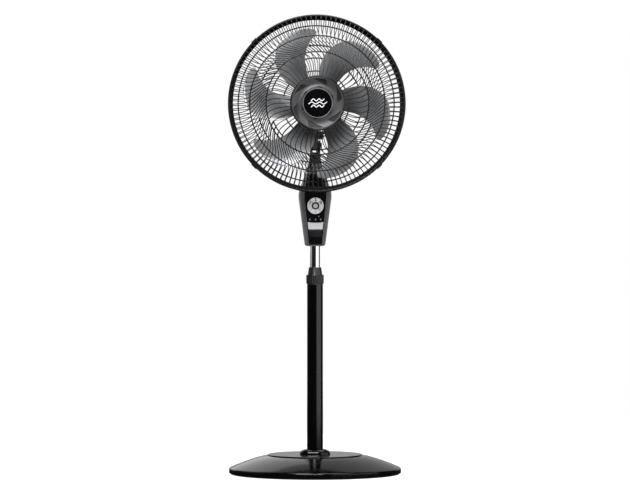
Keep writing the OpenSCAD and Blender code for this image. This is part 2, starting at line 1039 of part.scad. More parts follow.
module gearbox_lid() {
    color("#c9c9c3")
        translate([gearbox_left, gearbox_seat_h - gear_front_f, gearbox_top])
            cube([gearbox_right - gearbox_left, gear_front_f - gear_back_f - gearbox_seat_h, gearbox_wall]);
}

module gear(teeth, r, depth, low, thick) {
    translate([0, 0, low])
        linear_extrude(thick)
            polygon(tooth_line(teeth, r, depth));
}

module worm_wheel() {
    color("#ece9df")
        translate([wheel_x, wheel_y, 0]) {
            gear(wheel_teeth, wheel_r, tooth_h, fan_z - wheel_t / 2, wheel_t);
            rod(knob_stem_r, gearbox_floor + gearbox_wall + gap, gearbox_top - gap);
            gear(pinion_teeth, pinion_r, tooth_h * 0.6, gear_z, gear_t);
        }
}

module crank_gear() {
    color("#e4e1d6")
        translate([crank_x, crank_y, 0]) {
            gear(crank_teeth, crank_gear_r, tooth_h, gear_z, gear_t);
            rod(crank_shaft_r, crank_disc_top - 1, gear_z + gear_t + 4);
            rod(crank_throw + crank_pin_r + 1, crank_disc_top - crank_disc_t, crank_disc_top);
            translate([crank_throw, 0, 0])
                rod(crank_pin_r, link_bottom, crank_disc_top - crank_disc_t + 1);
        }
}

module crank_link() {
    pin_x = crank_x + crank_throw;
    link_l = norm([crank_throw, crank_y]);
    color("#8d9094")
        translate([link_pin_r, 0, link_bottom])
            rotate([0, 0, atan2(crank_y, pin_x - link_pin_r)])
                difference() {
                    union() {
                        translate([0, -link_w / 2, 0])
                            cube([link_l, link_w, link_t]);
                        cylinder(r = eye_r, h = link_t);
                        translate([link_l, 0, 0])
                            cylinder(r = eye_r, h = link_t);
                    }
                    rod(eye_pin_r, -cut, link_t + cut);
                    translate([link_l, 0, 0])
                        rod(crank_pin_r + running, -cut, link_t + cut);
                }
}

module oscillation_knob() {
    knob_bottom = fan_z + motor_r;
    color("#141414")
        translate([wheel_x, wheel_y, 0]) {
            rod(knob_stem_r, gearbox_top + gearbox_wall + 0.5, knob_bottom + 2);
            turned(concat(
                [[0, knob_bottom]],
                [for (p = knob_waist) [knob_r - p.x, knob_bottom + p.y]],
                [[0, knob_bottom + knob_h]]
            ));
        }
}

// ---- guards ----

// one straight rib between two rings, following the dome in front or the bowl behind
module rib(r1, a1, r2, a2, steps, front) {
    p = polar(r1, a1);
    q = polar(r2, a2);
    run = norm(q - p);
    turn = atan2(q.y - p.y, q.x - p.x);
    depth = front ? rib_depth : -rib_depth;
    edge = [
        for (i = [0 : steps])
            let (t = i / steps, r = norm(p + t * (q - p)))
                [t * run, front ? front_z(r) : rear_z(r)]
    ];
    inner = [for (i = [steps : -1 : 0]) edge[i] - [0, depth]];
    translate([p.x, p.y, 0])
        rotate([0, 0, turn])
            translate([0, rib_w / 2, 0])
                rotate([90, 0, 0])
                    linear_extrude(rib_w)
                        polygon(concat(edge, inner));
}

module ring(r, low, w, h) {
    tube(r + w / 2, r - w / 2, low, low + h);
}

// all ribs of a guard: three spans each from hub to rim, and a second set across the outer span only
module rib_fan(radii, turn, front) {
    for (i = [0 : ribs - 1], k = [0 : 3]) {
        from = min(k, 2);
        a = i * 360 / ribs + (k == 3 ? half_pitch : 0);
        rib(radii[from], a + turn[from], radii[from + 1], a + turn[from + 1], k < 2 ? 1 : rim_steps, front);
    }
}

module front_guard() {
    rim_r = guard_r - front_rim_w / 2;
    radii = [hub_ring_r, front_rings[0], front_rings[1], rim_r];
    color("#26272a")
        translate([0, -rim_f, 0])
            on_fan_axis() {
                for (r = [hub_ring_r, front_rings[0], front_rings[1]])
                    ring(r, front_z(r) - rib_depth - ring_proud, ring_w, rib_depth + 2 * ring_proud);
                ring(rim_r, 0, front_rim_w, front_rim_h);
                rib_fan(radii, front_turn, true);
            }
}

module rear_guard() {
    rim_r = guard_r - rear_rim_w / 2;
    radii = [rear_hub_r, rear_rings[1], rear_rings[2], rim_r];
    hub_low = motor_front_f - rim_f;
    color("#1c1d1f")
        translate([0, -rim_f, 0])
            on_fan_axis() {
                for (r = rear_rings)
                    ring(r, rear_z(r) - ring_proud, ring_w, rib_depth + 2 * ring_proud);
                tube(rear_hub_r + hub_ring_w / 2, snout_r + 0.2, hub_low, hub_low + hub_plate_t);
                ring(rear_hub_r, hub_low, hub_ring_w, hub_ring_h);
                turned([
                    [guard_r - rear_rim_w, -rear_rim_h], [guard_r, -rear_rim_h], [guard_r, 0],
                    [guard_r - rim_wall, 0], [guard_r - rim_wall, rim_wall - rear_rim_h],
                    [guard_r - rear_rim_w, rim_wall - rear_rim_h]
                ]);
                rib_fan(radii, rear_turn, false);
            }
}

module guard_nut() {
    low = motor_front_f + hub_plate_t;
    color("#26272a")
        on_fan_axis()
            difference() {
                rod(guard_nut_r, low, low + nut_t);
                rod(snout_r + 0.1, low - cut, low + nut_t + cut);
                for (i = [0 : 11])
                    rotate([0, 0, i * 30])
                        translate([guard_nut_r + guard_nut_grip_r / 2, 0, 0])
                            rod(guard_nut_grip_r, low - cut, low + nut_t + cut);
            }
}

module guard_latches() {
    inner_r = guard_r + 0.1;
    color("#1c1d1f")
        translate([0, -rim_f, 0])
            on_fan_axis()
                for (i = [0 : latch_count - 1])
                    rotate([0, 0, 45 + i * 360 / latch_count])
                        intersection() {
                            tube(inner_r + latch_t, inner_r, -latch_drop, front_rim_h);
                            translate([0, -latch_w / 2, -2 * latch_drop])
                                cube([2 * guard_r, latch_w, 4 * latch_drop]);
                        }
}

module badge_cap() {
    edge_r = cap_r - cap_rim_t;
    lip_r = light_ring_r + 1;
    seat = cap_front - disc_seat;
    back = seat - cap_wall;
    color("#333539")
        translate([0, -rim_f, 0])
            on_fan_axis()
                difference() {
                    turned([
                        [0, back], [disc_edge_r - cap_wall, back], [edge_r, cap_back],
                        [cap_r, cap_back], [cap_r, cap_front - cap_rim_t], [edge_r, cap_front - 1],
                        [lip_r, cap_front], [lip_r, cap_front + 0.5], [light_ring_r, cap_front + 0.5],
                        [light_ring_r, seat], [0, seat]
                    ]);
                    for (i = [0 : blades - 1])
                        rotate([0, 0, i * 360 / blades])
                            rotate_extrude(angle = recess_turn)
                                translate([recess_inner_r, cap_front - recess_depth])
                                    square([recess_outer_r - recess_inner_r, 2 * recess_depth]);
                }
}

module badge_ring() {
    color("#b9bbbd")
        translate([0, -rim_f, 0])
            on_fan_axis()
                tube(light_ring_r, disc_edge_r, cap_front - disc_seat, cap_front + 1);
}

module badge_disc() {
    color("#060607")
        translate([0, -rim_f, 0])
            on_fan_axis()
                rod(disc_edge_r, cap_front - disc_seat, cap_front + 0.8);
}

// ---- what spins ----

module motor_shaft() {
    turns = floor((worm_front_f - worm_back_f) / worm_pitch);
    color("#b8babc")
        on_fan_axis()
            difference() {
                union() {
                    rod(shaft_r - 1, worm_back_f, worm_front_f);
                    for (i = [0 : turns - 1])
                        translate([0, 0, worm_back_f + i * worm_pitch])
                            cylinder(r = shaft_r, h = worm_pitch / 2);
                    rod(shaft_r, worm_front_f, shaft_front_f);
                }
                translate([0, 0, pin_f])
                    rotate([0, 90, 0])
                        rod(pin_r, -shaft_r - cut, shaft_r + cut);
            }
}

module rotor_core() {
    color("#85878b")
        on_fan_axis()
            tube(rotor_r, shaft_r, stator_back_f + rotor_inset, stator_front_f - rotor_inset);
}

// how far round and how far forward the blade stands at span t and chord u
function blade_r(t) = blade_root_r + t * (tip_r - blade_root_r);
function swept(t) = max(0, (blade_r(t) - blade_swept_r) / (tip_r - blade_swept_r));
function tip_round(t) = sqrt(1 - pow(0.97 * max(0, (swept(t) - 0.84) / 0.16), 2));
function blade_width(t) = (blade_w - blade_narrowing * swept(t)) * tip_round(t);
function blade_angle(u, t) = blade_turn - blade_sweep * pow(swept(t), 2.3) + (u - 0.5) * blade_width(t);
function blade_z(u, t) =
    (u - 0.5) * (blade_pitch_h - blade_flattening * t) * tip_round(t) + 4 * blade_camber * u * (1 - u) - 6;
function blade_point(u, t, lift) = [
    blade_r(t) * cos(blade_angle(u, t)),
    blade_r(t) * sin(blade_angle(u, t)),
    blade_z(u, t) + lift * (0.5 + 2 * u * (1 - u))
];

module blade() {
    n = chord_steps;
    m = span_steps;
    row = n + 1;
    sheet = row * (m + 1);
    points = [
        for (lift = [blade_t / 2, -blade_t / 2], j = [0 : m], i = [0 : n]) blade_point(i / n, j / m, lift)
    ];
    top = [
        for (j = [0 : m - 1], i = [0 : n - 1])
            let (a = j * row + i)
                each [[a, a + 1, a + row], [a + 1, a + row + 1, a + row]]
    ];
    bottom = [for (f = top) [f[0] + sheet, f[2] + sheet, f[1] + sheet]];
    rim_loop = concat(
        [for (i = [0 : n]) i],
        [for (j = [1 : m]) j * row + n],
        [for (i = [n - 1 : -1 : 0]) m * row + i],
        [for (j = [m - 1 : -1 : 1]) j * row]
    );
    count = len(rim_loop);
    side = [
        for (k = [0 : count - 1])
            let (a = rim_loop[k], b = rim_loop[(k + 1) % count])
                each [[a, a + sheet, b + sheet], [a, b + sheet, b]]
    ];
    polyhedron(points, concat(top, bottom, side));
}

module fan_blades() {
    inner_r = hub_r - hub_wall;
    color("#46484c")
        translate([0, -rim_f, 0])
            on_fan_axis()
                union() {
                    turned([
                        [shaft_r, hub_core_back], [hub_core_r, hub_core_back],
                        [hub_core_r + 1, hub_front - hub_wall], [inner_r, hub_front - hub_slope],
                        [inner_r, hub_back], [hub_r, hub_back], [hub_r, hub_front - hub_slope + 2],
                        [hub_r - hub_slope, hub_front], [shaft_r, hub_front]
                    ]);
                    for (i = [0 : blades - 1])
                        rotate([0, 0, i * 360 / blades])
                            blade();
                }
}

module blade_nut() {
    low = rim_f + hub_front;
    r = blade_nut_r;
    h = blade_nut_h;
    grip_w = r / 5;
    color("#2a2b2e")
        on_fan_axis()
            difference() {
                turned([[0, low], [r, low], [r, low + h - 7], [r - 4, low + h - 1], [0, low + h]]);
                rod(shaft_r, low - cut, shaft_front_f);
                for (i = [0 : blade_nut_grips - 1])
                    rotate([0, 0, i * 360 / blade_nut_grips])
                        translate([r + grip_w / 2, 0, 0])
                            rod(grip_w, low - cut, low + h / 2);
            }
}

module drive_pin() {
    color("#9c9ea0")
        on_fan_axis()
            translate([0, 0, pin_f])
                rotate([0, 90, 0])
                    rod(pin_r, -pin_l / 2, pin_l / 2);
}

base_shell();
base_weight();
base_cover();
foot_ring();
column_socket();
base_bolt();
base_washer();
outer_column();
height_sleeve();
height_nut();
inner_tube();
tube_guide();
box_front();
box_back();
neck();
control_panel();
button_ring();
speed_key_1();
speed_key_2();
speed_key_3();
timer_key();
power_button();
indicator_lights();
name_plate();
receiver_window();
circuit_board();
key_switches();
box_screws();
cord_gland();
tilt_bolt();
tilt_bracket();
pan_bush();
pan_pin();
motor_saddle();
front_housing();
rear_housing();
housing_screws();
stator_core();
stator_windings();
front_bearing();
rear_bearing();
gearbox_housing();
gearbox_lid();
worm_wheel();
crank_gear();
crank_link();
oscillation_knob();
rear_guard();
guard_nut();
front_guard();
guard_latches();
badge_cap();
badge_ring();
badge_disc();
motor_shaft();
rotor_core();
fan_blades();
blade_nut();
drive_pin();
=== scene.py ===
import json
from math import atan2, cos, exp, pi, radians, sin, sqrt, tan, tau

import bmesh
import bpy
from mathutils import Matrix, Vector

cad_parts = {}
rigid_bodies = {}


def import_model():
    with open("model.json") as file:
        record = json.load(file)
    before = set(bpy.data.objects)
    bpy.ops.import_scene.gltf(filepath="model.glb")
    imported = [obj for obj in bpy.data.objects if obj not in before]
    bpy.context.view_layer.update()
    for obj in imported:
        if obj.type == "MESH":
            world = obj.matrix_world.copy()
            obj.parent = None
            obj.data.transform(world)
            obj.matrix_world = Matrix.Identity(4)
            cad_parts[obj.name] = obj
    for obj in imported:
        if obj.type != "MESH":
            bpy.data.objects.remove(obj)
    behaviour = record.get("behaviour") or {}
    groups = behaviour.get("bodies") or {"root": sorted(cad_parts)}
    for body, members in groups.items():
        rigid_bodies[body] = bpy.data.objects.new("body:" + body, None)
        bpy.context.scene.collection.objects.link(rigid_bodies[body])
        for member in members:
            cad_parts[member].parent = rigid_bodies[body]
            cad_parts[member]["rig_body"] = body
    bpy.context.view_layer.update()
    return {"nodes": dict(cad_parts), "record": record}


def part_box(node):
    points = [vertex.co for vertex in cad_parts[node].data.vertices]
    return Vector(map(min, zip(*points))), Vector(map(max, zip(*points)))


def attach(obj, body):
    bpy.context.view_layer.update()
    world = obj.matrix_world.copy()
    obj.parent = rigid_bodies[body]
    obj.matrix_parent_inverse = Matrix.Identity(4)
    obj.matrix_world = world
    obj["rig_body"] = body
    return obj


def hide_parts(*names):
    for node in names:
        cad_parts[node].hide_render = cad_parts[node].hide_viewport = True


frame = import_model()

MM = 0.001                       # the frame is in metres, and the shapes below are in millimetres
scene = bpy.context.scene
nodes = frame["nodes"]
slot_of = {row["node"]: row["material_slot"] for row in frame["record"]["subparts"]}


def low(node):
    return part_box(node)[0] / MM


def high(node):
    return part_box(node)[1] / MM


# ---- sizes from the frame, in millimetres ----

fan_z = (low("front_guard").z + high("front_guard").z) / 2
guard_r = (high("front_guard").x - low("front_guard").x) / 2
rim_y = high("front_guard").y                               # the plane where the guards meet
front_h = rim_y - low("badge_ring").y - 0.5                 # the front dome's height over it
rear_h = high("rear_guard").y - rim_y - 2                   # the rear bowl's depth behind it
column_r = high("outer_column").x
tube_r = high("inner_tube").x
base_r = high("base_shell").x
box_low_z = low("box_front").z
box_high_z = high("box_front").z
box_h = box_high_z - box_low_z
box_w = 2 * high("box_front").x
panel_y = low("control_panel").y
keys_z = (low("button_ring").z + high("button_ring").z) / 2
well_lip_r = high("button_ring").x                          # the well of the keys, with its wall
motor_r = high("front_housing").x
tilt_z = (low("tilt_bolt").z + high("tilt_bolt").z) / 2


def facing(x, y, z):
    """Local X stays, local Y goes up and local Z comes forward, from the point (x, y, z)."""
    return Matrix(((1, 0, 0, x), (0, 0, -1, y), (0, 1, 0, z), (0, 0, 0, 1)))


FORWARD = Vector((0, 0, 1))                                 # of a piece that is made in local axes
UPRIGHT = Matrix.Identity(4)
ON_RIM = facing(0, rim_y, fan_z)                            # the fan's axis, from the guards' plane
ON_AXIS = facing(0, 0, fan_z)                               # the fan's axis, from the column's axis
ON_KEYS = facing(0, 0, keys_z)
ON_PANEL = facing(0, panel_y, box_low_z)


# ---- camera and light ----

def aimed(kind, data, place, target):
    made = bpy.data.objects.new(kind, data)
    scene.collection.objects.link(made)
    made.location = place
    made.rotation_euler = (Vector(target) - Vector(place)).to_track_quat("-Z", "Y").to_euler()
    return made


def make_camera():
    distance = 9.7
    side = radians(-2)
    eye_z = 0.72
    aim_z = 0.559
    data = bpy.data.cameras.new("camera")
    data.sensor_width = 36
    data.lens = 222
    data.clip_end = 100
    place = (distance * sin(side), -distance * cos(side), eye_z)
    scene.camera = aimed("camera", data, place, (0, 0, aim_z))


def soft_box(name, turn, distance, height, aim, w, h, radiance):
    """A softbox of w by h metres that shines on the object's axis at the height aim.
    turn is its angle from the front in degrees, positive to the right."""
    data = bpy.data.lights.new(name, "AREA")
    data.shape = "RECTANGLE"
    data.size = w
    data.size_y = h
    data.energy = radiance * pi * w * h
    turn = radians(turn)
    aimed(name, data, (distance * sin(turn), -distance * cos(turn), height), (0, 0, aim))


def make_lights():
    soft_box("right", 56, 3.0, 1.1, 0.9, 4.4, 2.4, 1.5)
    soft_box("left", -98, 2.6, 1.55, 1.55, 1.8, 2.2, 0.45)
    soft_box("front", -10, 4.2, 3.3, 0.8, 3.0, 2.0, 15)
    soft_box("top", 150, 0.5, 3.2, 0.6, 2.2, 1.6, 5.0)
    soft_box("back", 180, 2.9, 1.65, 1.4, 6.0, 3.3, 0.45)
    soft_box("back_left", -159, 2.8, 1.6, 1.5, 2.1, 2.2, 0.6)


def make_world():
    """White behind the object, and a dim grey room in its reflections."""
    world = bpy.data.worlds.new("studio")
    scene.world = world
    world.use_nodes = True
    tree = world.node_tree
    background = tree.nodes["Background"]
    to_camera = add(tree, "LightPath").outputs["Is Camera Ray"]
    strength = add(tree, "MapRange", Value=to_camera, To_Min=0.018, To_Max=1.0).outputs["Result"]
    tree.links.new(strength, background.inputs["Strength"])
    background.inputs["Color"].default_value = (1, 1, 1, 1)


# ---- materials ----

def give(tree, socket, value):
    """Sets a socket to a number or a colour, or links another node's output to it."""
    if isinstance(value, bpy.types.NodeSocket):
        tree.links.new(value, socket)
    else:
        socket.default_value = value


def add(tree, kind, settings=None, **inputs):
    """A shader node. Its inputs go by their names, with _ for a space."""
    made = tree.nodes.new("ShaderNode" + kind)
    for key, value in (settings or {}).items():
        setattr(made, key, value)
    for key, value in inputs.items():
        give(tree, made.inputs[key.replace("_", " ")], value)
    return made


def object_point(tree):
    return add(tree, "TexCoord").outputs["Object"]


def calc(tree, operation, first, second):
    made = add(tree, "Math", {"operation": operation})
    tree.links.new(first, made.inputs[0])
    tree.links.new(second, made.inputs[1])
    return made.outputs["Value"]


def noise(tree, scale, detail, stretch):
    place = object_point(tree)
    if stretch != (1, 1, 1):
        place = add(tree, "Mapping", Vector=place, Scale=stretch).outputs["Vector"]
    return add(tree, "TexNoise", Vector=place, Scale=scale, Detail=detail).outputs["Fac"]


def ranged(tree, value, from_low, from_high, to_low, to_high):
    """value taken smoothly from one range to another."""
    settings = {"clamp": True, "interpolation_type": "SMOOTHSTEP"}
    made = add(tree, "MapRange", settings, Value=value, From_Min=from_low, From_Max=from_high,
               To_Min=to_low, To_Max=to_high)
    return made.outputs["Result"]


def tinted(tree, fac, first, second):
    """A colour that goes from first to second as fac goes from 0 to 1. Each is a colour or an output."""
    made = add(tree, "Mix", {"data_type": "RGBA"}, Factor=fac)
    colours_in = [s for s in made.inputs if s.type == "RGBA"]
    for socket, value in zip(colours_in, (first, second)):
        give(tree, socket, value)
    return [s for s in made.outputs if s.type == "RGBA"][0]


def shade(colour, amount):
    """The colour made lighter or darker, with its alpha."""
    return (*(min(1.0, c * amount) for c in colour), 1)


DUST = (0.22, 0.21, 0.2, 1)
materials = {}


def finish(name, colour, rough, metallic=0.0, specular=0.5, coat=0.0, mottle=0.15, patch=25,
           rough_spread=0.06, grain=1400, grain_h=0.02, stretch=(1, 1, 1), wear=0.0, dust=0.0, pattern=None):
    """Adds a surface with patches of tone, uneven gloss, a moulded or drawn grain, and worn edges.
    patch and grain are the noises' scales per metre, and grain_h is the grain's height in millimetres.
    wear is how strong the light edges are, and dust how strong the dust is on what faces up."""
    made = bpy.data.materials.new(name)
    made.use_nodes = True
    tree = made.node_tree
    shader = tree.nodes["Principled BSDF"]
    shader.inputs["Metallic"].default_value = metallic
    shader.inputs["Specular IOR Level"].default_value = specular
    shader.inputs["Coat Weight"].default_value = coat
    shader.inputs["Coat Roughness"].default_value = 0.08

    patches = noise(tree, patch, 4.0, stretch)
    fine = noise(tree, grain, 2.0, stretch)
    spread = ranged(tree, patches, 0.3, 0.7, 0, 1)
    tone = tinted(tree, spread, shade(colour, 1 - mottle), shade(colour, 1 + mottle))
    if pattern:
        tone = pattern(tree, tone, colour)
    if dust:
        facing_up = add(tree, "SeparateXYZ", Vector=add(tree, "NewGeometry").outputs["Normal"]).outputs["Z"]
        layer = ranged(tree, facing_up, 0.3, 1.0, 0, dust)
        settled = calc(tree, "MULTIPLY", layer, ranged(tree, patches, 0.35, 0.75, 0, 1))
        tone = tinted(tree, settled, tone, DUST)
    if wear:
        edge = ranged(tree, add(tree, "NewGeometry").outputs["Pointiness"], 0.53, 0.6, 0, wear)
        worn = calc(tree, "MULTIPLY", edge, ranged(tree, fine, 0.35, 0.6, 0.3, 1))
        tone = tinted(tree, worn, tone, shade([c + 0.03 for c in colour], 3.0))
    tree.links.new(tone, shader.inputs["Base Color"])
    uneven = ranged(tree, patches, 0.25, 0.75, -rough_spread, rough_spread)
    even = ranged(tree, fine, 0.2, 0.8, rough - 0.02, rough + 0.02)
    tree.links.new(calc(tree, "ADD", uneven, even), shader.inputs["Roughness"])
    bump = add(tree, "Bump", Height=fine, Strength=1.0, Distance=grain_h * MM)
    tree.links.new(bump.outputs["Normal"], shader.inputs["Normal"])
    materials[name] = made


def striped(period, direction, dark):
    """A pattern of fine parallel bands, such as a core's laminations."""
    def pattern(tree, tone, colour):
        settings = {"wave_type": "BANDS", "bands_direction": direction, "wave_profile": "SIN"}
        bands = pi / 10 / (period * MM)
        wave = add(tree, "TexWave", settings, Vector=object_point(tree), Scale=bands, Distortion=0.6)
        return tinted(tree, ranged(tree, wave.outputs["Fac"], 0.3, 0.7, 0, 1), shade(colour, dark), tone)
    return pattern


def speckled(size, spot):
    """A pattern of small stones or flakes."""
    def pattern(tree, tone, colour):
        cells = add(tree, "TexVoronoi", Vector=object_point(tree), Scale=1 / (size * MM))
        inside = ranged(tree, cells.outputs["Distance"], 0.15, 0.45, 1, 0)
        return tinted(tree, inside, tone, shade(colour, spot))
    return pattern


def painted_light_tips(inner_r, outer_r, gain):
    """Painted light: a pattern that grows lighter from the fan's hub to its tips, standing in for the
    brighter outer parts of the blades.
    """
    def pattern(tree, tone, colour):
        centre = (0, 0, -fan_z * MM)
        flat = add(tree, "Mapping", Vector=object_point(tree), Location=centre, Scale=(1, 0, 1))
        radius = add(tree, "VectorMath", {"operation": "LENGTH"}, Vector=flat.outputs["Vector"])
        bright = add(tree, "HueSaturation", Color=tone, Value=gain)
        outward = ranged(tree, radius.outputs["Value"], inner_r * MM, outer_r * MM, 0, 1)
        return tinted(tree, outward, tone, bright.outputs["Color"])
    return pattern


BRUSHED_UP = (1, 1, 0.02)        # how much the noises vary along each axis, for marks drawn along Z

finish("base_black", (0.0015, 0.0015, 0.0018), 0.12, specular=0.25, coat=0.08, grain=160, grain_h=0.002,
       rough_spread=0.03, patch=60, dust=0.012)
finish("column_black", (0.0012, 0.0012, 0.0014), 0.12, specular=0.4, coat=0.12, grain=220, grain_h=0.001,
       rough_spread=0.04)
finish("chrome_tube", (0.78, 0.79, 0.81), 0.09, metallic=1.0, mottle=0.04, grain=2500, grain_h=0.0004,
       stretch=BRUSHED_UP, rough_spread=0.03)
finish("black_plastic", (0.009, 0.009, 0.01), 0.32, wear=0.25)
finish("guard_black", (0.006, 0.006, 0.0065), 0.28, specular=0.4, patch=12, wear=0.12)
finish("box_grey", (0.08, 0.081, 0.085), 0.34, coat=0.15, wear=0.15, mottle=0.08, grain=2200,
       grain_h=0.006)
finish("panel_black", (0.003, 0.003, 0.0035), 0.12, coat=0.3, grain=300, grain_h=0.001, rough_spread=0.05)
finish("silver_plastic", (0.74, 0.75, 0.76), 0.45, metallic=0.1, mottle=0.05, grain=3000, grain_h=0.004,
       wear=0.1)
finish("light_lens", (0.2, 0.205, 0.215), 0.18, coat=0.5, grain=900, grain_h=0.004)
finish("dark_lens", (0.012, 0.011, 0.013), 0.1, coat=0.4, grain=600, grain_h=0.002)
# the blades get painted light, lighter towards their tips
finish("blade_grey", (0.17, 0.173, 0.18), 0.3, metallic=0.3, coat=0.1, patch=14, mottle=0.12, grain=1800,
       grain_h=0.006, wear=0.15, pattern=painted_light_tips(80, 155, 2.4))
finish("cap_grey", (0.046, 0.047, 0.049), 0.42, metallic=0.2, coat=0.05, grain=2400, grain_h=0.004,
       wear=0.15)
finish("disc_black", (0.002, 0.002, 0.0024), 0.1, specular=0.3, coat=0.1, grain=300, grain_h=0.001,
       rough_spread=0.03)
finish("steel", (0.5, 0.51, 0.53), 0.32, metallic=1.0, grain=1800, grain_h=0.01, wear=0.2)
finish("cast_grey", (0.16, 0.16, 0.165), 0.5, metallic=0.6, grain=700, grain_h=0.06, wear=0.3)
finish("lamination", (0.32, 0.33, 0.35), 0.42, metallic=1.0, pattern=striped(1.0, "Y", 0.45))
finish("copper_wire", (0.6, 0.24, 0.1), 0.35, metallic=1.0, grain=900, grain_h=0.1,
       pattern=striped(0.8, "Y", 0.35))
finish("bronze", (0.5, 0.34, 0.14), 0.4, metallic=1.0, pattern=speckled(0.6, 0.6))
finish("nylon", (0.72, 0.7, 0.64), 0.45, mottle=0.06, grain=1600, grain_h=0.015)
finish("board_green", (0.02, 0.12, 0.045), 0.35, pattern=striped(2.5, "Z", 0.6))
finish("switch_black", (0.02, 0.02, 0.022), 0.45, wear=0.2)
finish("concrete", (0.3, 0.29, 0.27), 0.85, grain=500, grain_h=0.3, pattern=speckled(4, 0.6))
finish("rubber_black", (0.016, 0.016, 0.016), 0.75, mottle=0.25, grain=1200, grain_h=0.05)
finish("ink_black", (0.01, 0.01, 0.011), 0.4, grain=2000, grain_h=0.01)
finish("ink_grey", (0.35, 0.36, 0.37), 0.4, grain=2000, grain_h=0.01)
finish("ink_white", (0.75, 0.76, 0.77), 0.4, grain=2000, grain_h=0.01)
finish("ring_grey", (0.16, 0.163, 0.17), 0.3, metallic=0.4, grain=2400, grain_h=0.004, wear=0.2)
# painted shade: silver_plastic made darker for the name plate alone, against the strong reflection on its
# flat face
finish("plate_silver_painted_shade", (0.4, 0.405, 0.415), 0.5, metallic=0.1, mottle=0.05, grain=3000, grain_h=0.004,
       wear=0.1)
# painted shade: a darker copy of cap_grey for the floors of the cap's scoops and slits
finish("scoop_painted_shade", (0.007, 0.007, 0.008), 0.5, specular=0.3, grain=2400, grain_h=0.004)


# ---- mesh building ----

def rounded(corners, steps=4):
    """A closed outline through corners (x, y, radius), each of them turned into an arc."""
    share = 0.49                 # of a side, the most that an arc takes, so that two never meet
    outline = []
    for i, (x, y, radius) in enumerate(corners):
        here = Vector((x, y))
        if radius == 0:
            outline.append((x, y))
            continue
        before = Vector(corners[i - 1][:2]) - here
        after = Vector(corners[(i + 1) % len(corners)][:2]) - here
        half = before.angle(after) / 2
        reach = min(radius / tan(half), share * before.length, share * after.length)
        start = here + before.normalized() * reach
        end = here + after.normalized() * reach
        for k in range(steps + 1):
            t = k / steps
            weights = ((1 - t) ** 2, 2 * t * (1 - t) * sin(half), t ** 2)
            point = (start * weights[0] + here * weights[1] + end * weights[2]) / sum(weights)
            outline.append((point.x, point.y))
    return outline


def circle(radius, steps, x=0.0):
    """Points round the middle (x, 0)."""
    return [(x + radius * cos(tau * k / steps), radius * sin(tau * k / steps)) for k in range(steps)]


def divided(outline, step):
    """The same closed outline with extra points, so that its sides are about step long."""
    points = []
    for (x1, y1), (x2, y2) in zip(outline, outline[1:] + outline[:1]):
        parts = max(1, round(sqrt((x2 - x1) ** 2 + (y2 - y1) ** 2) / step))
        points += [(x1 + (x2 - x1) * k / parts, y1 + (y2 - y1) * k / parts) for k in range(parts)]
    return points


def face(bm, corners):
    """A face on the corners that differ, if at least three do."""
    seen = list(dict.fromkeys(corners))
    if len(seen) > 2:
        bm.faces.new(seen)


def loft(bm, loops, ring=False):
    """Skins over loops of equally many points, closed at both ends, or joined end to end as a ring."""
    rows = [[bm.verts.new(point) for point in loop] for loop in loops]
    count = len(rows[0])
    pairs = list(zip(rows, rows[1:]))
    if ring:
        pairs.append((rows[-1], rows[0]))
    for here, there in pairs:
        for k in range(count):
            m = (k + 1) % count
            face(bm, (here[k], here[m], there[m], there[k]))
    if not ring:
        face(bm, rows[0][::-1])
        face(bm, rows[-1])


def revolve(bm, outline, steps=96, start=0.0, turn=tau, shape=None):
    """Turns a closed outline of (radius, height) points about Z. shape(r, h, a) may change a radius."""
    tiny = 1e-6
    whole = turn > tau - tiny
    count = steps if whole else steps + 1
    angles = [start + turn * k / steps for k in range(count)]
    rows = []
    for r, h in outline:
        if r < tiny:
            rows.append([bm.verts.new((0, 0, h))] * count)
        else:
            radii = [shape(r, h, a) if shape else r for a in angles]
            rows.append([bm.verts.new((q * cos(a), q * sin(a), h)) for q, a in zip(radii, angles)])
    for here, there in zip(rows, rows[1:] + rows[:1]):
        for k in range(steps):
            m = (k + 1) % count
            face(bm, (here[k], here[m], there[m], there[k]))
    if not whole:
        face(bm, [row[0] for row in rows][::-1])
        face(bm, [row[-1] for row in rows])


def slab(bm, outline, bottom, top, edge=0.0, segments=2):
    """A flat plate between two heights, with its edges rounded."""
    rings = [[bm.verts.new((x, y, h)) for x, y in outline] for h in (bottom, top)]
    count = len(outline)
    for k in range(count):
        m = (k + 1) % count
        face(bm, (rings[0][k], rings[0][m], rings[1][m], rings[1][k]))
    caps = [bm.faces.new(rings[0][::-1]), bm.faces.new(rings[1])]
    if edge:
        rims = list(dict.fromkeys(e for cap in caps for e in cap.edges))
        bmesh.ops.bevel(bm, geom=rims, offset=edge, segments=segments, affect="EDGES", profile=0.5)


def sweep(bm, path, section):
    """Carries a closed section of (across, forward) points along a path."""
    loops = []
    for i, point in enumerate(path):
        along = (path[min(i + 1, len(path) - 1)] - path[max(i - 1, 0)]).normalized()
        across = along.cross(FORWARD).normalized()
        rise = across.cross(along)
        loops.append([point + across * a + rise * b for a, b in section])
    loft(bm, loops)


def join(bm, part):
    """Adds the faces of part to bm."""
    mesh = bpy.data.meshes.new("part")
    part.to_mesh(mesh)
    part.free()
    bm.from_mesh(mesh)
    bpy.data.meshes.remove(mesh)


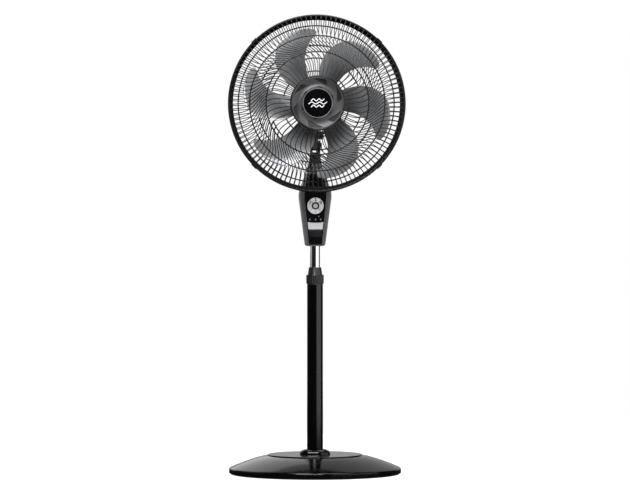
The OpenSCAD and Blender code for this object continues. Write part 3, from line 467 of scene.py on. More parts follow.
def put(name, bm, node, place=UPRIGHT, stands_for=(), material=None, sharp=35):
    """Makes the mesh an object, in metres, that rides on the node's body and may stand for nodes."""
    bmesh.ops.recalc_face_normals(bm, faces=bm.faces)
    bm.transform(Matrix.Scale(MM, 4) @ place)
    limit = radians(sharp)
    for f in bm.faces:
        f.smooth = True
    for e in bm.edges:
        e.smooth = len(e.link_faces) == 2 and e.calc_face_angle(pi) < limit
    mesh = bpy.data.meshes.new(name)
    bm.to_mesh(mesh)
    bm.free()
    mesh.materials.append(materials[material or slot_of[node]])
    made = bpy.data.objects.new(name, mesh)
    scene.collection.objects.link(made)
    flat = made.modifiers.new("flat faces stay flat", "WEIGHTED_NORMAL")
    flat.keep_sharp = True
    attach(made, nodes[node]["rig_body"])
    if stands_for:
        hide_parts(*stands_for)
    return made


def replace(node, bm, place=UPRIGHT, sharp=35, material=None):
    """Puts the mesh in the place of the node's CAD solid."""
    return put(node + "_fine", bm, node, place, (node,), material, sharp)


def turned(node, corners, steps, place=UPRIGHT, shape=None, **looks):
    """Replaces a node by a piece that is turned about one axis."""
    bm = bmesh.new()
    revolve(bm, rounded(corners), steps, shape=shape)
    replace(node, bm, place, **looks)


# ---- base and column ----

def base_slope(t, drop=0.0):
    """A point of the base's slope, from the raised disc at 0 to the rim at 1, moved down by drop."""
    disc_r = 118
    disc_step = 2.5
    rim_h = 15
    top = high("base_shell").z - disc_step
    inset = drop if t > 0.99 else 0
    return disc_r + (base_r - disc_r) * t - inset, top - (top - rim_h) * t ** 1.35 - drop


def make_base():
    steps = 22
    wall = 3
    foot = low("base_shell").z
    top = high("base_shell").z
    disc_r = base_slope(0)[0]
    bolt_r = 6.5
    outer = [(*base_slope(k / steps), 0) for k in range(steps - 1, 0, -1)]
    inner = [(*base_slope(k / steps, wall), 0) for k in range(1, steps)]
    corners = [
        (base_r - wall, foot, 0.4), (base_r, foot, 1.0), (base_r, base_slope(1)[1] - 0.4, 6.0), *outer,
        (disc_r + 1.4, base_slope(0)[1] - 0.6, 0.3), (disc_r, base_slope(0)[1] - 0.6, 0.3),
        (disc_r, top, 1.1), (disc_r - 12, top, 0), (bolt_r, top, 0), (bolt_r, top - wall, 0),
        (disc_r - wall, top - wall, 0), *inner, (base_r - wall, base_slope(1)[1] - wall, 0),
    ]
    turned("base_shell", corners, 180)


def make_socket():
    """The oval flange round the foot of the column, and the spigot that goes up inside it."""
    half_w, half_d = high("column_socket").x, high("column_socket").y
    foot, top = low("column_socket").z, high("column_socket").z
    dome = [
        (1.0, 0), (1.0, 1.5), (0.985, 4.0), (0.945, 6.8), (0.87, 9.2), (0.76, 11.2),
        (0.64, 12.5), (0.52, 13.0)
    ]
    power = 2 / 2.6              # squarer than an ellipse, which has 1
    steps = 96

    def oval(s, h):
        loop = []
        for k in range(steps):
            c, d = cos(tau * k / steps), sin(tau * k / steps)
            x = half_w * s * abs(c) ** power * (1 if c > 0 else -1)
            y = half_d * s * abs(d) ** power * (1 if d > 0 else -1)
            loop.append((x, y, foot + h))
        return loop

    bm = bmesh.new()
    loft(bm, [oval(s, h) for s, h in dome])
    spigot_r = column_r - 1.7
    revolve(bm, rounded([(0, foot + 1, 0), (spigot_r, foot + 1, 0), (spigot_r, top, 2), (0, top, 0)]))
    replace("column_socket", bm)


def pipe(node, radius, wall, edge):
    """A straight tube with its ends rounded by edge."""
    bottom, top = low(node).z, high(node).z
    turned(node, [
        (radius - wall, bottom, edge), (radius, bottom, edge), (radius, top, edge), (radius - wall, top, edge)
    ], 128)


def make_height_nut():
    """The fluted ring with its cone, that squeezes the sleeve onto the inner tube."""
    grips = 24
    depth = 1.1
    bottom, top = low("height_nut").z, high("height_nut").z
    ring_r = high("height_nut").x
    ring_top = bottom + 22
    fade = 2.5
    bore_r = 16.7
    cone_r = 18.6
    neck_r = tube_r + 3.2

    def fluted(r, h, a):
        if r < ring_r - 1.2 or not bottom < h < ring_top:
            return r
        reach = min(1.0, (h - bottom) / fade, (ring_top - h) / fade)
        return r - depth * reach * (0.5 + 0.5 * cos(grips * a)) ** 3

    side = [(ring_r, bottom + h) for h in (1.6, 2.6, 3.6, 11, 18.4, 19.4, 20.4)]
    corners = [
        (bore_r, bottom, 0.3), (ring_r - 0.4, bottom, 0.6), *((r, h, 0) for r, h in side),
        (ring_r - 0.5, ring_top, 0.8), (cone_r, ring_top, 0.8), (18.2, ring_top + 1.6, 0.6),
        (neck_r, top - 2.2, 0.4), (neck_r, top, 0.9), (tube_r + 0.3, top, 0.3),
        (tube_r + 0.3, top - 4, 0), (bore_r, top - 14, 0)
    ]
    turned("height_nut", corners, grips * 12, shape=fluted, sharp=50)


# ---- control box ----

BOX_WIDE = 132.0                 # height of the box's widest level over its underside
SIDE_R = 60                      # radius of the box's outline at that level
# Widths at the underside, at the widest level and at the top, of the seam between the shells,
# the panel, the front shell's face and the rear shell's face.
seam_w = (51.0, box_w, 46.0)
panel_w = (33.0, 2 * high("control_panel").x, 38.0)
face_w = tuple(w + 2 for w in panel_w)
back_w = tuple(0.72 * w for w in seam_w)


def six_sided(widths, bottom, middle, top, corner, side):
    """An outline seen from the front, with round corners: widths are at bottom, middle and top."""
    w0, w1, w2 = (w / 2 for w in widths)
    return rounded([
        (w0, bottom, corner), (w1, middle, side), (w2, top, corner),
        (-w2, top, corner), (-w1, middle, side), (-w0, bottom, corner),
    ], 6)


def box_loop(widths, inset, y):
    """The box's outline at depth y, moved in by inset."""
    outline = six_sided([w - 2 * inset for w in widths], inset, BOX_WIDE, box_h - inset, 7, SIDE_R)
    return [(x, y, box_low_z + z) for x, z in outline]


def between(first, second, t):
    return [a + (b - a) * t for a, b in zip(first, second)]


def box_side(face_y, widths, inset):
    """Loops from the seam to the edge of the outer face, over a side that bulges a little."""
    steps = 7
    reach = face_y - (1.6 if face_y > 0 else -1.6)
    return [
        box_loop(between(seam_w, widths, (k / steps) ** 1.7), inset, reach * k / steps)
        for k in range(steps + 1)
    ]


def make_box():
    wall = 2.5
    front_y, back_y = low("box_front").y, high("box_back").y
    opening = six_sided([w - 6 for w in panel_w], 7, BOX_WIDE, box_h - 7, 4, SIDE_R)
    window = [[(x, y, box_low_z + z) for x, z in opening] for y in (front_y, front_y + wall)]
    outer = box_side(front_y, face_w, 0)
    inner = box_side(front_y + wall, face_w, wall)
    bm = bmesh.new()
    loft(bm, [
        *outer, box_loop(face_w, 0.5, front_y + 0.5), box_loop(face_w, 1.6, front_y), *window, *inner[::-1]
    ], ring=True)
    replace("box_front", bm)

    gap = 0.3
    outer = box_side(back_y, back_w, 0)
    inner = box_side(back_y - wall, back_w, wall)
    outer[0] = [(x, gap, z) for x, _, z in outer[0]]
    bm = bmesh.new()
    loft(bm, [
        box_loop(back_w, wall + 6, back_y - wall), *inner[::-1], *outer, box_loop(back_w, 0.5, back_y - 0.5),
        box_loop(back_w, 1.6, back_y), box_loop(back_w, 5, back_y)
    ])
    replace("box_back", bm)


def make_panel():
    """The glossy plate with a well for the keys."""
    back_y, front_y = low("box_front").y, panel_y
    well_r = well_lip_r - 1.1
    well_y = -29.0
    edge = 0.6

    flat = divided(six_sided(panel_w, 4, BOX_WIDE, box_h - 4, 4, SIDE_R), 1.6)

    def plate(inset, y):
        loop = []
        for (x0, z0), (x, z), (x1, z1) in zip(flat[-1:] + flat[:-1], flat, flat[1:] + flat[:1]):
            inward = Vector((z0 - z1, x1 - x0)).normalized() * inset
            loop.append((x + inward.x, y, box_low_z + z + inward.y))
        return loop

    def well(radius, y, like):
        loop = []
        for x, _, z in like:
            out = Vector((x, z - keys_z)).normalized() * radius
            loop.append((out.x, y, keys_z + out.y))
        return loop

    outer = plate(0, back_y)
    bm = bmesh.new()
    loft(bm, [
        outer, plate(0, front_y + edge), plate(0.18, front_y + 0.18), plate(edge, front_y),
        well(well_r + 0.5, front_y, outer), well(well_r + 0.12, front_y + 0.2, outer),
        well(well_r, front_y + 0.6, outer), well(well_r, well_y, outer), well(well_lip_r, well_y, outer),
        well(well_lip_r, back_y, outer),
    ], ring=True)
    replace("control_panel", bm)


def sector(inner_r, outer_r, slit, steps=14):
    """A quarter of a ring, centred on the X axis, with parallel slits at its ends."""
    points = []
    for radius, order in ((inner_r, range(steps + 1)), (outer_r, range(steps, -1, -1))):
        half = pi / 4 - slit / 2 / radius
        points += [(radius * cos(a), radius * sin(a)) for a in (half * (2 * k / steps - 1) for k in order)]
    return points


def make_digit(glyph, node, place):
    """A raised digit, from Blender's own font."""
    name = "digit_" + glyph
    curve = bpy.data.curves.new(name, "FONT")
    curve.body = glyph
    curve.size = 9.4
    curve.align_x = "CENTER"
    curve.align_y = "CENTER"
    curve.extrude = 0.08
    curve.offset = 0.4
    holder = bpy.data.objects.new(name, curve)
    mesh = bpy.data.meshes.new_from_object(holder)
    bm = bmesh.new()
    bm.from_mesh(mesh)
    bmesh.ops.remove_doubles(bm, verts=bm.verts, dist=0.001)
    bpy.data.objects.remove(holder)
    bpy.data.meshes.remove(mesh)
    put(name, bm, node, place, material="ink_black")


def stroke(bm, points, width, height):
    """A printed line along points, raised by height."""
    section = [(-width / 2, 0), (width / 2, 0), (width / 2, height), (-width / 2, height)]
    sweep(bm, [Vector((x, y, 0)) for x, y in points], section)


STEM_R = 1.8                     # the keys' stems, which press the switches


def arc(radius, start, end, steps, centre=(0, 0)):
    """Points from one angle to another, in degrees."""
    angles = [radians(start + (end - start) * k / steps) for k in range(steps + 1)]
    return [(centre[0] + radius * cos(a), centre[1] + radius * sin(a)) for a in angles]


def make_keys():
    """The ring of four keys, with the digits of the speeds and the timer's clock sign."""
    keys_r = well_lip_r - 1.6
    inner_r = 9.5
    stem_x = 14.6
    digit_r = 15.4
    turns = {"speed_key_3": 0, "speed_key_2": 90, "speed_key_1": 180, "timer_key": 270}
    for node, turn in turns.items():
        front = -low(node).y
        bm = bmesh.new()
        slab(bm, sector(inner_r, keys_r, 0.8), front - 5.5, front, 0.55, 3)
        slab(bm, circle(STEM_R, 20, stem_x), -high(node).y, front - 5)
        replace(node, bm, ON_KEYS @ Matrix.Rotation(radians(turn), 4, "Z"))
    for glyph, turn in (("1", 152), ("2", 90), ("3", 28)):
        node = "speed_key_" + glyph
        a = radians(turn)
        spot = Matrix.Translation((digit_r * cos(a), digit_r * sin(a), -low(node).y + 0.05))
        make_digit(glyph, node, ON_KEYS @ spot)
    bm = bmesh.new()
    mark = (0, -digit_r)
    stroke(bm, arc(2.1, 0, 360, 28, mark), 0.5, 0.14)
    stroke(bm, [(0, -digit_r + 1.3), mark, (0.9, -digit_r + 0.2)], 0.45, 0.14)
    spot = Matrix.Translation((0, 0, -low("timer_key").y))
    put("timer_mark", bm, "timer_key", ON_KEYS @ spot, material="ink_black")


def make_power_button():
    """The centre button with its black ring, and the usual stand-by sign on it."""
    front = -low("power_button").y
    radius = 5.4
    bm = bmesh.new()
    revolve(bm, rounded([
        (0, front - 5.5, 0), (radius, front - 5.5, 0), (radius, front - 0.3, 0.6),
        (3.6, front - 0.25, 0.4), (0, front - 0.5, 0)
    ]), 64)
    slab(bm, circle(STEM_R, 20), -high("power_button").y, front - 5)
    replace("power_button", bm, ON_KEYS)
    bm = bmesh.new()
    stroke(bm, arc(1.9, 125, 415, 24), 0.5, 0.2)
    stroke(bm, [(0, 0.5), (0, 2.6)], 0.5, 0.2)
    spot = Matrix.Translation((0, 0, front - 0.45))
    put("power_mark", bm, "power_button", ON_KEYS @ spot, material="ink_grey")
    front = -low("button_ring").y
    back, well_floor = 27, 29
    bm = bmesh.new()
    revolve(bm, rounded([(5.8, back, 0), (9.1, back, 0), (9.1, front, 1.0), (5.8, front - 0.5, 0.5)]), 96)
    revolve(bm, rounded([
        (8, back, 0), (well_lip_r, back, 0.3), (well_lip_r, well_floor, 0.3), (8, well_floor, 0)
    ]), 96)
    replace("button_ring", bm, ON_KEYS)


def make_indicator_lights():
    """The small lights, three of them with a printed mark."""
    lights = [(-14, 67), (0, 67), (13, 67), (8.4, 74.5)]
    bm = bmesh.new()
    for x, h in lights:
        part = bmesh.new()
        revolve(part, rounded([(0, -2, 0), (1.6, -2, 0), (1.6, 0.1, 0.2), (1.1, 0.3, 0.2), (0, 0.34, 0)]), 32)
        part.transform(Matrix.Translation((x, h, 0)))
        join(bm, part)
    replace("indicator_lights", bm, ON_PANEL)
    bm = bmesh.new()
    for x, h in lights[:3]:
        stroke(bm, [(x - 1.5, h - 3.2), (x + 1.5, h - 3.2)], 0.35, 0.12)
    put("light_marks", bm, "indicator_lights", ON_PANEL, material="ink_grey")


def make_name_plate():
    bottom, top = low("name_plate").z - box_low_z, high("name_plate").z - box_low_z
    dip = 1.6
    steps = 12

    def plate(inset, height):
        """The plate's outline, moved in by inset: it widens upwards, and its top edge dips."""
        half_low, half_high = 17.5 - inset, high("name_plate").x - inset
        across = [1 - 2 * k / steps for k in range(1, steps)]
        dipping = [(half_high * t, top - inset - dip * (1 - t * t), 0) for t in across]
        return [(x, y, height) for x, y in rounded([
            (-half_low, bottom + inset, 0.8), (half_low, bottom + inset, 0.8),
            (half_high, top - inset, 0.5), *dipping, (-half_high, top - inset, 0.5)
        ])]

    bm = bmesh.new()
    loft(bm, [plate(0, -0.2), plate(0, 0.55), plate(0.07, 0.73), plate(0.25, 0.8)])
    # the plate's darker silver is painted shade
    replace("name_plate", bm, ON_PANEL, material="plate_silver_painted_shade")


def make_receiver_window():
    bottom, top = low("receiver_window").z - box_low_z, high("receiver_window").z - box_low_z
    half_low, half_high = 14.5, high("receiver_window").x
    outline = rounded([
        (-half_low, bottom, 1.2), (half_low, bottom, 1.2), (half_high, top, 0.8), (-half_high, top, 0.8)
    ])
    bm = bmesh.new()
    slab(bm, outline, -0.2, 0.5, 0.2)
    replace("receiver_window", bm, ON_PANEL)


def make_gland():
    """The cord's gland on the box's back, which gets thinner from ring to ring."""
    bottom, top = low("cord_gland").y, high("cord_gland").y
    centre_z = (low("cord_gland").z + high("cord_gland").z) / 2
    rings = 4
    corners = [
        (3.2, bottom, 0), (5, bottom, 0), (5, bottom + 3.5, 0), (6, bottom + 3.5, 0.4), (6, bottom + 6.5, 0.6)
    ]
    for k in range(rings):
        start = bottom + 6.8 + k * 2.6
        radius = 5.2 - 0.32 * k
        corners += [
            (radius, start, 0.3), (radius, start + 1.5, 0.3),
            (radius - 0.8, start + 1.8, 0.2), (radius - 0.8, start + 2.4, 0.2)
        ]
    corners += [(3.9, top, 0.3), (3.2, top, 0.3)]
    bm = bmesh.new()
    revolve(bm, rounded(corners, 3), 48)
    replace("cord_gland", bm, Matrix.Translation((0, 0, centre_z)) @ Matrix.Rotation(radians(-90), 4, "X"))


def rounded_box(w, d, radius, z):
    corners = [(x * w / 2, y * d / 2, radius) for x, y in ((1, -1), (1, 1), (-1, 1), (-1, -1))]
    return [(x, y, z) for x, y in rounded(corners, 7)]


def make_neck():
    """The bottle-shaped neck with the two cheeks of its fork."""
    foot_z = box_high_z
    foot_w, foot_d = 46, 40
    spigot_w = 28
    hinge_r = 12.0
    fork_w = 26.0
    cheek_w = 6.7
    cheek_z = tilt_z - hinge_r - 5
    steps = 14
    loops = [
        rounded_box(spigot_w, spigot_w, 13.9, foot_z - 4), rounded_box(spigot_w, spigot_w, 13.9, foot_z),
        rounded_box(44.6, 38.6, 10, foot_z), rounded_box(foot_w, foot_d, 11, foot_z + 0.8)
    ]
    for k in range(steps + 1):
        t = k / steps
        shrink = (1 - t) ** 2.0
        w = fork_w + (foot_w - fork_w) * shrink
        d = 2 * hinge_r + (foot_d - 2 * hinge_r) * shrink
        loops.append(rounded_box(w, d, 6 + 5 * shrink, foot_z + 2.5 + (cheek_z - foot_z - 2.5) * t))
    bm = bmesh.new()
    loft(bm, loops)
    half = [(hinge_r * cos(a), hinge_r * sin(a)) for a in (pi * k / 24 for k in range(25))]
    outline = [*half, (-hinge_r, -hinge_r - 6), (hinge_r, -hinge_r - 6)]
    for x in (-fork_w / 2, fork_w / 2 - cheek_w):
        part = bmesh.new()
        slab(part, outline, x, x + cheek_w, 1.2, 3)
        part.transform(Matrix(((0, 0, 1, 0), (1, 0, 0, 0), (0, 1, 0, tilt_z), (0, 0, 0, 1))))
        join(bm, part)
    replace("neck", bm)


# ---- motor ----

def make_front_housing():
    """The motor's front cover, with the collar that the rear guard goes on. f is a distance forward."""
    front_f = -low("front_housing").y
    rim_f = front_f - 14
    seam_f = -low("rear_housing").y
    collar_r = 23.4
    corners = [
        (16, seam_f - 12, 0), (motor_r - 2.7, seam_f - 12, 0), (motor_r - 2.7, seam_f + 0.4, 0),
        (motor_r - 0.5, seam_f + 0.4, 0.3), (motor_r, seam_f + 1.2, 0.5), (motor_r, rim_f - 5, 3),
        (motor_r - 7, rim_f, 4), (collar_r, rim_f, 0.5), (collar_r, front_f, 0.8),
        (collar_r - 3, front_f, 0.8), (collar_r - 3, rim_f, 0), (8, rim_f, 0), (8, rim_f - 9, 0),
        (12, rim_f - 9, 0), (12, rim_f - 3, 0), (motor_r - 5, rim_f - 3, 0),
        (motor_r - 5, seam_f - 10, 0), (16, seam_f - 10, 0),
    ]
    turned("front_housing", corners, 144, ON_AXIS)


def make_rear_housing():
    """The motor's rear cover: a drum, and a dome with a crown of vents."""
    seam_f = -low("rear_housing").y
    back_f = -high("rear_housing").y
    dome_h = 28
    wall = 2.5
    vents = 24
    cells = 10                   # steps of angle for one vent and the bar beside it
    open_cells = 6
    vent_low, vent_high = 20, 40
    steps = vents * cells
    dome_f = back_f + dome_h
    line = [(motor_r - 0.6, seam_f - 0.2), (motor_r, seam_f - 1.0), (motor_r, seam_f - 20)]
    line += [(motor_r, seam_f - 45), (motor_r, dome_f + 6)]
    arcs = 18
    for k in range(arcs + 1):
        a = pi / 2 * k / arcs
        line.append((max(0.5, motor_r * cos(a)), dome_f - dome_h * sin(a)))
    line += [(r, dome_f - dome_h * sqrt(1 - (r / motor_r) ** 2)) for r in (vent_low, vent_high)]
    line.sort(key=lambda p: (-p[1], -p[0]))
    bm = bmesh.new()
    rows = [[bm.verts.new((x, y, f)) for x, y in circle(r, steps)] for r, f in line]
    for (r1, _), (r2, _), here, there in zip(line, line[1:], rows, rows[1:]):
        on_vent = r1 <= vent_high + 0.01 and r2 >= vent_low - 0.01
        for k in range(steps):
            if on_vent and k % cells < open_cells:
                continue
            m = (k + 1) % steps
            face(bm, (here[k], here[m], there[m], there[k]))
    face(bm, rows[-1])
    bmesh.ops.recalc_face_normals(bm, faces=bm.faces)
    outward = sum(f.normal.dot(f.calc_center_median().normalized()) for f in bm.faces)
    if outward < 0:
        bmesh.ops.reverse_faces(bm, faces=bm.faces)
    bmesh.ops.solidify(bm, geom=bm.faces[:], thickness=wall)
    replace("rear_housing", bm, ON_AXIS, sharp=40)


def make_knob():
    """The knob that is pulled to stop the head from swinging."""
    bottom, top = low("oscillation_knob").z, high("oscillation_knob").z
    x, y = ((low("oscillation_knob")[i] + high("oscillation_knob")[i]) / 2 for i in (0, 1))
    radius = high("oscillation_knob").x - x
    grips = 18

    def fluted(r, h, a):
        return r - (0.5 * (0.5 + 0.5 * cos(grips * a)) if h > top - 11 and r > radius - 1.5 else 0)

    corners = [
        (0, bottom, 0), (3, bottom, 0), (3, top - 15, 0), (radius - 2.2, top - 15, 0.5),
        (radius - 2.4, top - 11, 2), (radius, top - 8.5, 1), (radius, top - 2.5, 0),
        (radius - 1.2, top - 0.6, 1), (radius - 3, top, 0.5), (radius - 3.6, top - 0.6, 0.4),
        (0, top - 0.6, 0)
    ]
    turned("oscillation_knob", corners, grips * 8, Matrix.Translation((x, y, 0)), fluted, sharp=50)


# ---- guards, from the plane where they meet ----

RIBS = 54                        # that reach from the hub to the rim, and as many that start farther out
RIB = [
    (-0.75, -3.6), (0.75, -3.6), (1.1, -1.2), (0.98, -0.5),
    (0.5, -0.05), (-0.5, -0.05), (-0.98, -0.5), (-1.1, -1.2)
]


def front_z(r):
    return front_h * (1 - (r / guard_r) ** 2.2) ** 0.55


def rear_z(r):
    return -rear_h * sqrt(1 - (r / guard_r) ** 4)


def rib(bm, r1, r2, start, steps, surface, turn, middle, width, section):
    """A rib that follows the surface and turns by turn degrees in an S, centred on the radius middle."""
    path = []
    for k in range(steps + 1):
        r = r1 + (r2 - r1) * k / steps
        a = start + radians(turn) / (1 + exp((middle - r) / width))
        path.append(Vector((r * cos(a), r * sin(a), surface(r))))
    sweep(bm, path, section)


def ring(bm, r, bottom):
    """One of the rings that the ribs cross."""
    w, h = 3.2, 4.4
    edge = 1.1
    inner, outer, top = r - w / 2, r + w / 2, bottom + h
    corners = [(inner, bottom, edge), (outer, bottom, edge), (outer, top, edge), (inner, top, edge)]
    revolve(bm, rounded(corners, 3), 216)


def make_front_guard():
    hub_r, short_r, rim_r = 66.5, 126, 215
    bend = {"turn": 24, "middle": 141, "width": 11.3}
    bm = bmesh.new()
    pitch = tau / RIBS
    for k in range(RIBS):
        rib(bm, hub_r, rim_r, k * pitch, 34, front_z, section=RIB, **bend)
        rib(bm, short_r, rim_r, (k + 0.5) * pitch, 22, front_z, section=RIB, **bend)
    for r in (short_r, 166):
        ring(bm, r, front_z(r) - 4.0)
    hub_z = front_z(66) - 4.0
    hub = [
        (64.4, hub_z - 1, 0.5), (67.6, hub_z - 1, 1), (67.8, hub_z + 3.2, 1.2), (66.4, hub_z + 4.4, 1.2),
        (64.9, hub_z + 4.4, 0.8), (64.4, hub_z + 3.2, 0.5)
    ]
    revolve(bm, rounded(hub), 216)
    rim = [
        (213.8, 0, 0.6), (guard_r, 0, 0.5), (guard_r, 2.4, 0.4), (guard_r - 0.7, 2.8, 0.2),
        (guard_r - 0.7, 3.6, 0.2), (guard_r, 4.0, 0.4), (guard_r, 7.0, 1.6), (guard_r - 1.9, 9, 1.0),
        (214.9, 9, 1.0), (213.8, 7.4, 1.2)
    ]
    revolve(bm, rounded(rim), 288)
    replace("front_guard", bm, ON_RIM)


def make_rear_guard():
    hub_r, short_r, rim_r = 60, 145, 212
    bend = {"turn": 18, "middle": 127.5, "width": 8.4}
    bm = bmesh.new()
    pitch = tau / RIBS
    back_rib = [(a, -b) for a, b in RIB]
    for k in range(RIBS):
        rib(bm, hub_r, rim_r, k * pitch, 34, rear_z, section=back_rib, **bend)
        rib(bm, short_r, rim_r, (k + 0.5) * pitch, 18, rear_z, section=back_rib, **bend)
    for r in (82, 114, short_r, 193):
        ring(bm, r, rear_z(r) - 0.4)
    hub_z = -(rear_h + 2)
    plate = [
        (23.8, hub_z, 0.4), (34, hub_z, 0.3), (35, hub_z + 0.8, 0.4), (38, hub_z + 0.8, 0.4),
        (39, hub_z, 0.3), (62, hub_z, 1.2), (62, hub_z + 6.5, 1.2), (58, hub_z + 6.5, 1.0),
        (57.6, hub_z + 3.5, 0.8), (23.8, hub_z + 3.5, 0.4)
    ]
    revolve(bm, rounded(plate), 216)
    rim = [
        (206, -24, 0.8), (216.5, -24, 3), (guard_r, -20, 3), (guard_r, -4.6, 0.4),
        (guard_r - 0.6, -4.2, 0.2), (guard_r - 0.6, -3.4, 0.2), (guard_r, -3.0, 0.4), (guard_r, -0.3, 0.5),
        (216.5, -0.3, 0.5), (216.5, -19, 2), (214, -21.5, 1.5), (206, -21.5, 0.8)
    ]
    revolve(bm, rounded(rim), 288)
    replace("rear_guard", bm, ON_RIM)


def make_guard_nut():
    """The lobed nut that holds the rear guard on the motor's collar."""
    grips = 12
    bottom, top = -high("guard_nut").y, -low("guard_nut").y
    radius = high("guard_nut").x

    def lobed(r, h, a):
        return r - (2.2 * (0.5 + 0.5 * cos(grips * a)) ** 2 if r > radius - 2 else 0)

    corners = [(23.5, bottom, 0.3), (radius, bottom, 1), (radius, top, 1.5), (23.5, top, 0.3)]
    turned("guard_nut", corners, 144, ON_AXIS, lobed, sharp=50)


def make_latches():
    """Four clips that hook over both rims and hold the guards together."""
    count = 4
    inner, outer = guard_r + 0.15, guard_r + 1.85
    half = 8 / guard_r           # of a clip's width, as an angle
    ridge = outer - 0.1
    bm = bmesh.new()
    for k in range(count):
        middle = pi / 4 + k * tau / count
        body = [
            (inner, -11.5, 0.4), (outer - 0.6, -11.8, 0.6), (outer - 0.2, -7, 1), (outer, -2, 1),
            (outer, 4, 2), (outer - 0.7, 8.6, 0.6), (inner, 8.8, 0.4)
        ]
        part = bmesh.new()
        revolve(part, rounded(body, 3), 16, middle - half, 2 * half)
        for h in (-9.6, -7.8, -6.0):
            lip = [(outer - 1.2, h, 0), (ridge, h, 0.3), (ridge, h + 0.8, 0.3), (outer - 1.2, h + 0.8, 0)]
            revolve(part, rounded(lip, 2), 10, middle - half * 0.7, 1.4 * half)
        join(bm, part)
    replace("guard_latches", bm, ON_RIM)


# ---- front cap ----

SCOOPS = 6


def scoop(r, a):
    """How deep the cap is at (r, a): six teardrops that widen clockwise, and six slits inside them."""
    def soft(x, width):
        """A step from 0 to 1 at x = 0, smooth over width."""
        t = min(1.0, max(0.0, 0.5 + x / width))
        return t * t * (3 - 2 * t)

    pitch = 360 / SCOOPS
    turn = -a * 180 / pi % pitch                            # degrees, clockwise
    phi = (turn + 42) % pitch
    span = 41.0
    edge_r = 59.8
    inner = edge_r - 12.2 * sin(radians(90 * min(1, phi / span)))
    outer = edge_r - 11.5 * max(0.0, (phi - 31) / 10)
    depth = 0.0
    if phi < span + 3:
        depth = (0.9 + 1.9 * phi / span) * soft(r - inner, 1.3) * soft(outer - r, 1.1)
    psi = (turn + 35) % pitch
    slit_span = 26
    if psi < slit_span:
        crescent = 38.2 + 2.9 * sin(radians(180 * psi / slit_span))
        depth = max(depth, 1.3 * soft(crescent - r, 0.9) * soft(r - 38.0, 0.5))
    return depth


def cap_height(r):
    """The cap's face without its scoops: a shallow trough between the disc and the raised rim."""
    return front_h - 0.6 - 3.4 * sin(pi * min(1, max(0, (r - 37) / 27)) ** 0.75)


def make_cap():
    steps, rows = 540, 44
    cap_r = 64.2
    inner_r, edge_r = 37.0, 61.6
    painted_shade_depth = 0.6             # from which the scoops get a darker material: painted shade in their recesses
    bm = bmesh.new()
    grid = []
    for j in range(rows + 1):
        r = inner_r + (edge_r - inner_r) * j / rows
        angles = [tau * k / steps for k in range(steps)]
        grid.append([(r * cos(a), r * sin(a), cap_height(r) - scoop(r, a)) for a in angles])

    def loop(r, h):
        return [(x, y, h) for x, y in circle(r, steps)]

    back = front_h - 10
    rim_top = front_h - 1.7
    loft(bm, [
        loop(30, front_h - 5.5), loop(inner_r - 1, front_h - 5), loop(inner_r - 0.6, front_h - 2), *grid,
        loop(edge_r + 0.4, rim_top - 0.4), loop(edge_r + 0.9, rim_top), loop(cap_r - 1.0, rim_top),
        loop(cap_r - 0.3, rim_top - 0.35), loop(cap_r, rim_top - 1.1), loop(cap_r, back),
        loop(cap_r - 2.5, back), loop(cap_r - 2.5, front_h - 7),
    ], ring=True)
    # faces deep in the scoops take the second, darker material, which paints their shade
    for f in bm.faces:
        middle = f.calc_center_median()
        r = sqrt(middle.x ** 2 + middle.y ** 2)
        if inner_r < r < edge_r and scoop(r, atan2(middle.y, middle.x)) > painted_shade_depth:
            f.material_index = 1
    cap = replace("badge_cap", bm, ON_RIM, sharp=50)
    cap.data.materials.append(materials["scoop_painted_shade"])


def make_badge():
    """The cap's glossy disc in its light ring, with three plain waves on it."""
    turned("badge_ring", [
        (34.7, front_h - 2, 0), (37, front_h - 2, 0), (37.2, front_h - 0.4, 0.4), (36.4, front_h + 0.5, 0.6),
        (35.2, front_h + 0.5, 0.4), (34.7, front_h + 0.1, 0.2)
    ], 216, ON_RIM, material="ring_grey")
    disc_top = front_h + 0.25
    turned("badge_disc", [
        (0, front_h - 2, 0), (34.6, front_h - 2, 0), (34.6, disc_top - 0.4, 0.5), (28, disc_top - 0.05, 0),
        (0, disc_top, 0)
    ], 144, ON_RIM)

    bm = bmesh.new()
    half_w = 23
    pitch = 7.6
    wave_h = 2.4
    points = 40
    along = [2 * k / points - 1 for k in range(points + 1)]
    for row in (-1, 0, 1):
        length = half_w * (1 - 0.28 * abs(row))
        crest = [(length * t, pitch * row + wave_h * sin(2.4 * pi * t)) for t in along]
        stroke(bm, crest, 2.0, 0.2)
    spot = Matrix.Translation((0, 0, disc_top - 0.05))
    put("air_sign", bm, "badge_disc", ON_RIM @ spot, material="ink_white")


# ---- blades ----

BLADES = 6
hub_r = 58.0
tip_r = 186.0


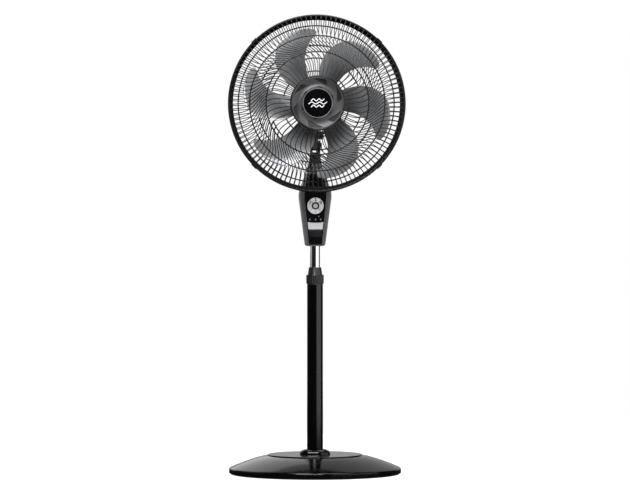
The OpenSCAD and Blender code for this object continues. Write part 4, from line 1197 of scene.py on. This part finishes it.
def blade_loop(t):
    """The closed section of a blade at span t, from the hub at 0 to the tip at 1."""
    steps = 15
    root_r = hub_r - 1.5
    r = root_r + t * (tip_r - root_r)
    s = max(0.0, (r - 66) / 120)
    tip = sqrt(1 - (0.97 * max(0.0, (s - 0.84) / 0.16)) ** 2)    # rounds off the last sixth
    width = (41 - 7 * s) * tip                              # degrees
    root = 1 + 1.6 * exp(-(r - root_r) / 4)                 # thickens the blade at the hub

    def point(u, lift):
        """A point between the edges, at u = 0 and 1, of the swept, twisted and cambered blade."""
        a = radians(126.5 - 26 * s ** 2.3 + (u - 0.5) * width)
        z = (u - 0.5) * (52 - 14 * t) * tip + 20 * u * (1 - u) - 6
        return (r * cos(a), r * sin(a), z + lift)

    def half_thickness(u):
        edge = min(1.0, min(u, 1 - u) / 0.025)
        return root * (0.5 + 2 * u * (1 - u)) * sqrt(max(0.0, 1 - (1 - edge) ** 2))

    rise = [0.5 - 0.5 * cos(pi * k / steps) for k in range(steps + 1)]
    front = [point(u, half_thickness(u)) for u in rise]
    back = [point(u, -half_thickness(u)) for u in rise[-2:0:-1]]
    return front + back


def make_blades():
    """The fan: six blades on a cup-shaped hub."""
    spans = 30
    bm = bmesh.new()
    for k in range(BLADES):
        part = bmesh.new()
        loft(part, [blade_loop(1 - (1 - j / spans) ** 1.5) for j in range(spans + 1)])
        part.transform(Matrix.Rotation(tau * k / BLADES, 4, "Z"))
        join(bm, part)
    wall = 3
    revolve(bm, rounded([
        (4, -20, 0), (10, -20, 0.5), (11, 19, 0), (hub_r - wall, 14, 2), (hub_r - wall, -32, 0.6),
        (hub_r, -32, 0.8), (hub_r, -26, 0.4), (hub_r + 0.6, -25, 0.4), (hub_r + 0.6, -23.6, 0.4),
        (hub_r, -22.6, 0.4), (hub_r, 15, 5), (hub_r - 8, 22, 3), (4, 22, 0),
    ]), 144)
    replace("fan_blades", bm, ON_RIM)


# ---- floor and CAD pieces ----

def make_floor():
    """A plain pale floor, bright enough to meet the white background."""
    bm = bmesh.new()
    bm.faces.new([bm.verts.new((x, y, 0)) for x, y in circle(1.6, 96)])
    mesh = bpy.data.meshes.new("floor")
    bm.to_mesh(mesh)
    bm.free()
    floor = bpy.data.objects.new("floor", mesh)
    floor.visible_glossy = False
    scene.collection.objects.link(floor)
    paint = bpy.data.materials.new("floor")
    paint.use_nodes = True
    shader = paint.node_tree.nodes["Principled BSDF"]
    shader.inputs["Base Color"].default_value = (0.5, 0.5, 0.5, 1)
    shader.inputs["Roughness"].default_value = 0.6
    shader.inputs["Specular IOR Level"].default_value = 0.2
    shader.inputs["Emission Color"].default_value = (1, 1, 1, 1)
    shader.inputs["Emission Strength"].default_value = 0.75
    mesh.materials.append(paint)


def dress_cad_nodes():
    """Gives every node that stays in view the material of its slot."""
    for name, made in nodes.items():
        made.data.materials.clear()
        made.data.materials.append(materials[slot_of[name]])


scene.view_settings.view_transform = "Standard"
make_camera()
make_lights()
make_world()
make_floor()
dress_cad_nodes()
make_base()
make_socket()
pipe("outer_column", column_r, 1.5, 0.4)
pipe("inner_tube", tube_r, 1.2, 0.3)
make_height_nut()
make_box()
make_panel()
make_keys()
make_power_button()
make_indicator_lights()
make_name_plate()
make_receiver_window()
make_gland()
make_neck()
make_front_housing()
make_rear_housing()
make_knob()
make_front_guard()
make_rear_guard()
make_guard_nut()
make_latches()
make_cap()
make_badge()
make_blades()
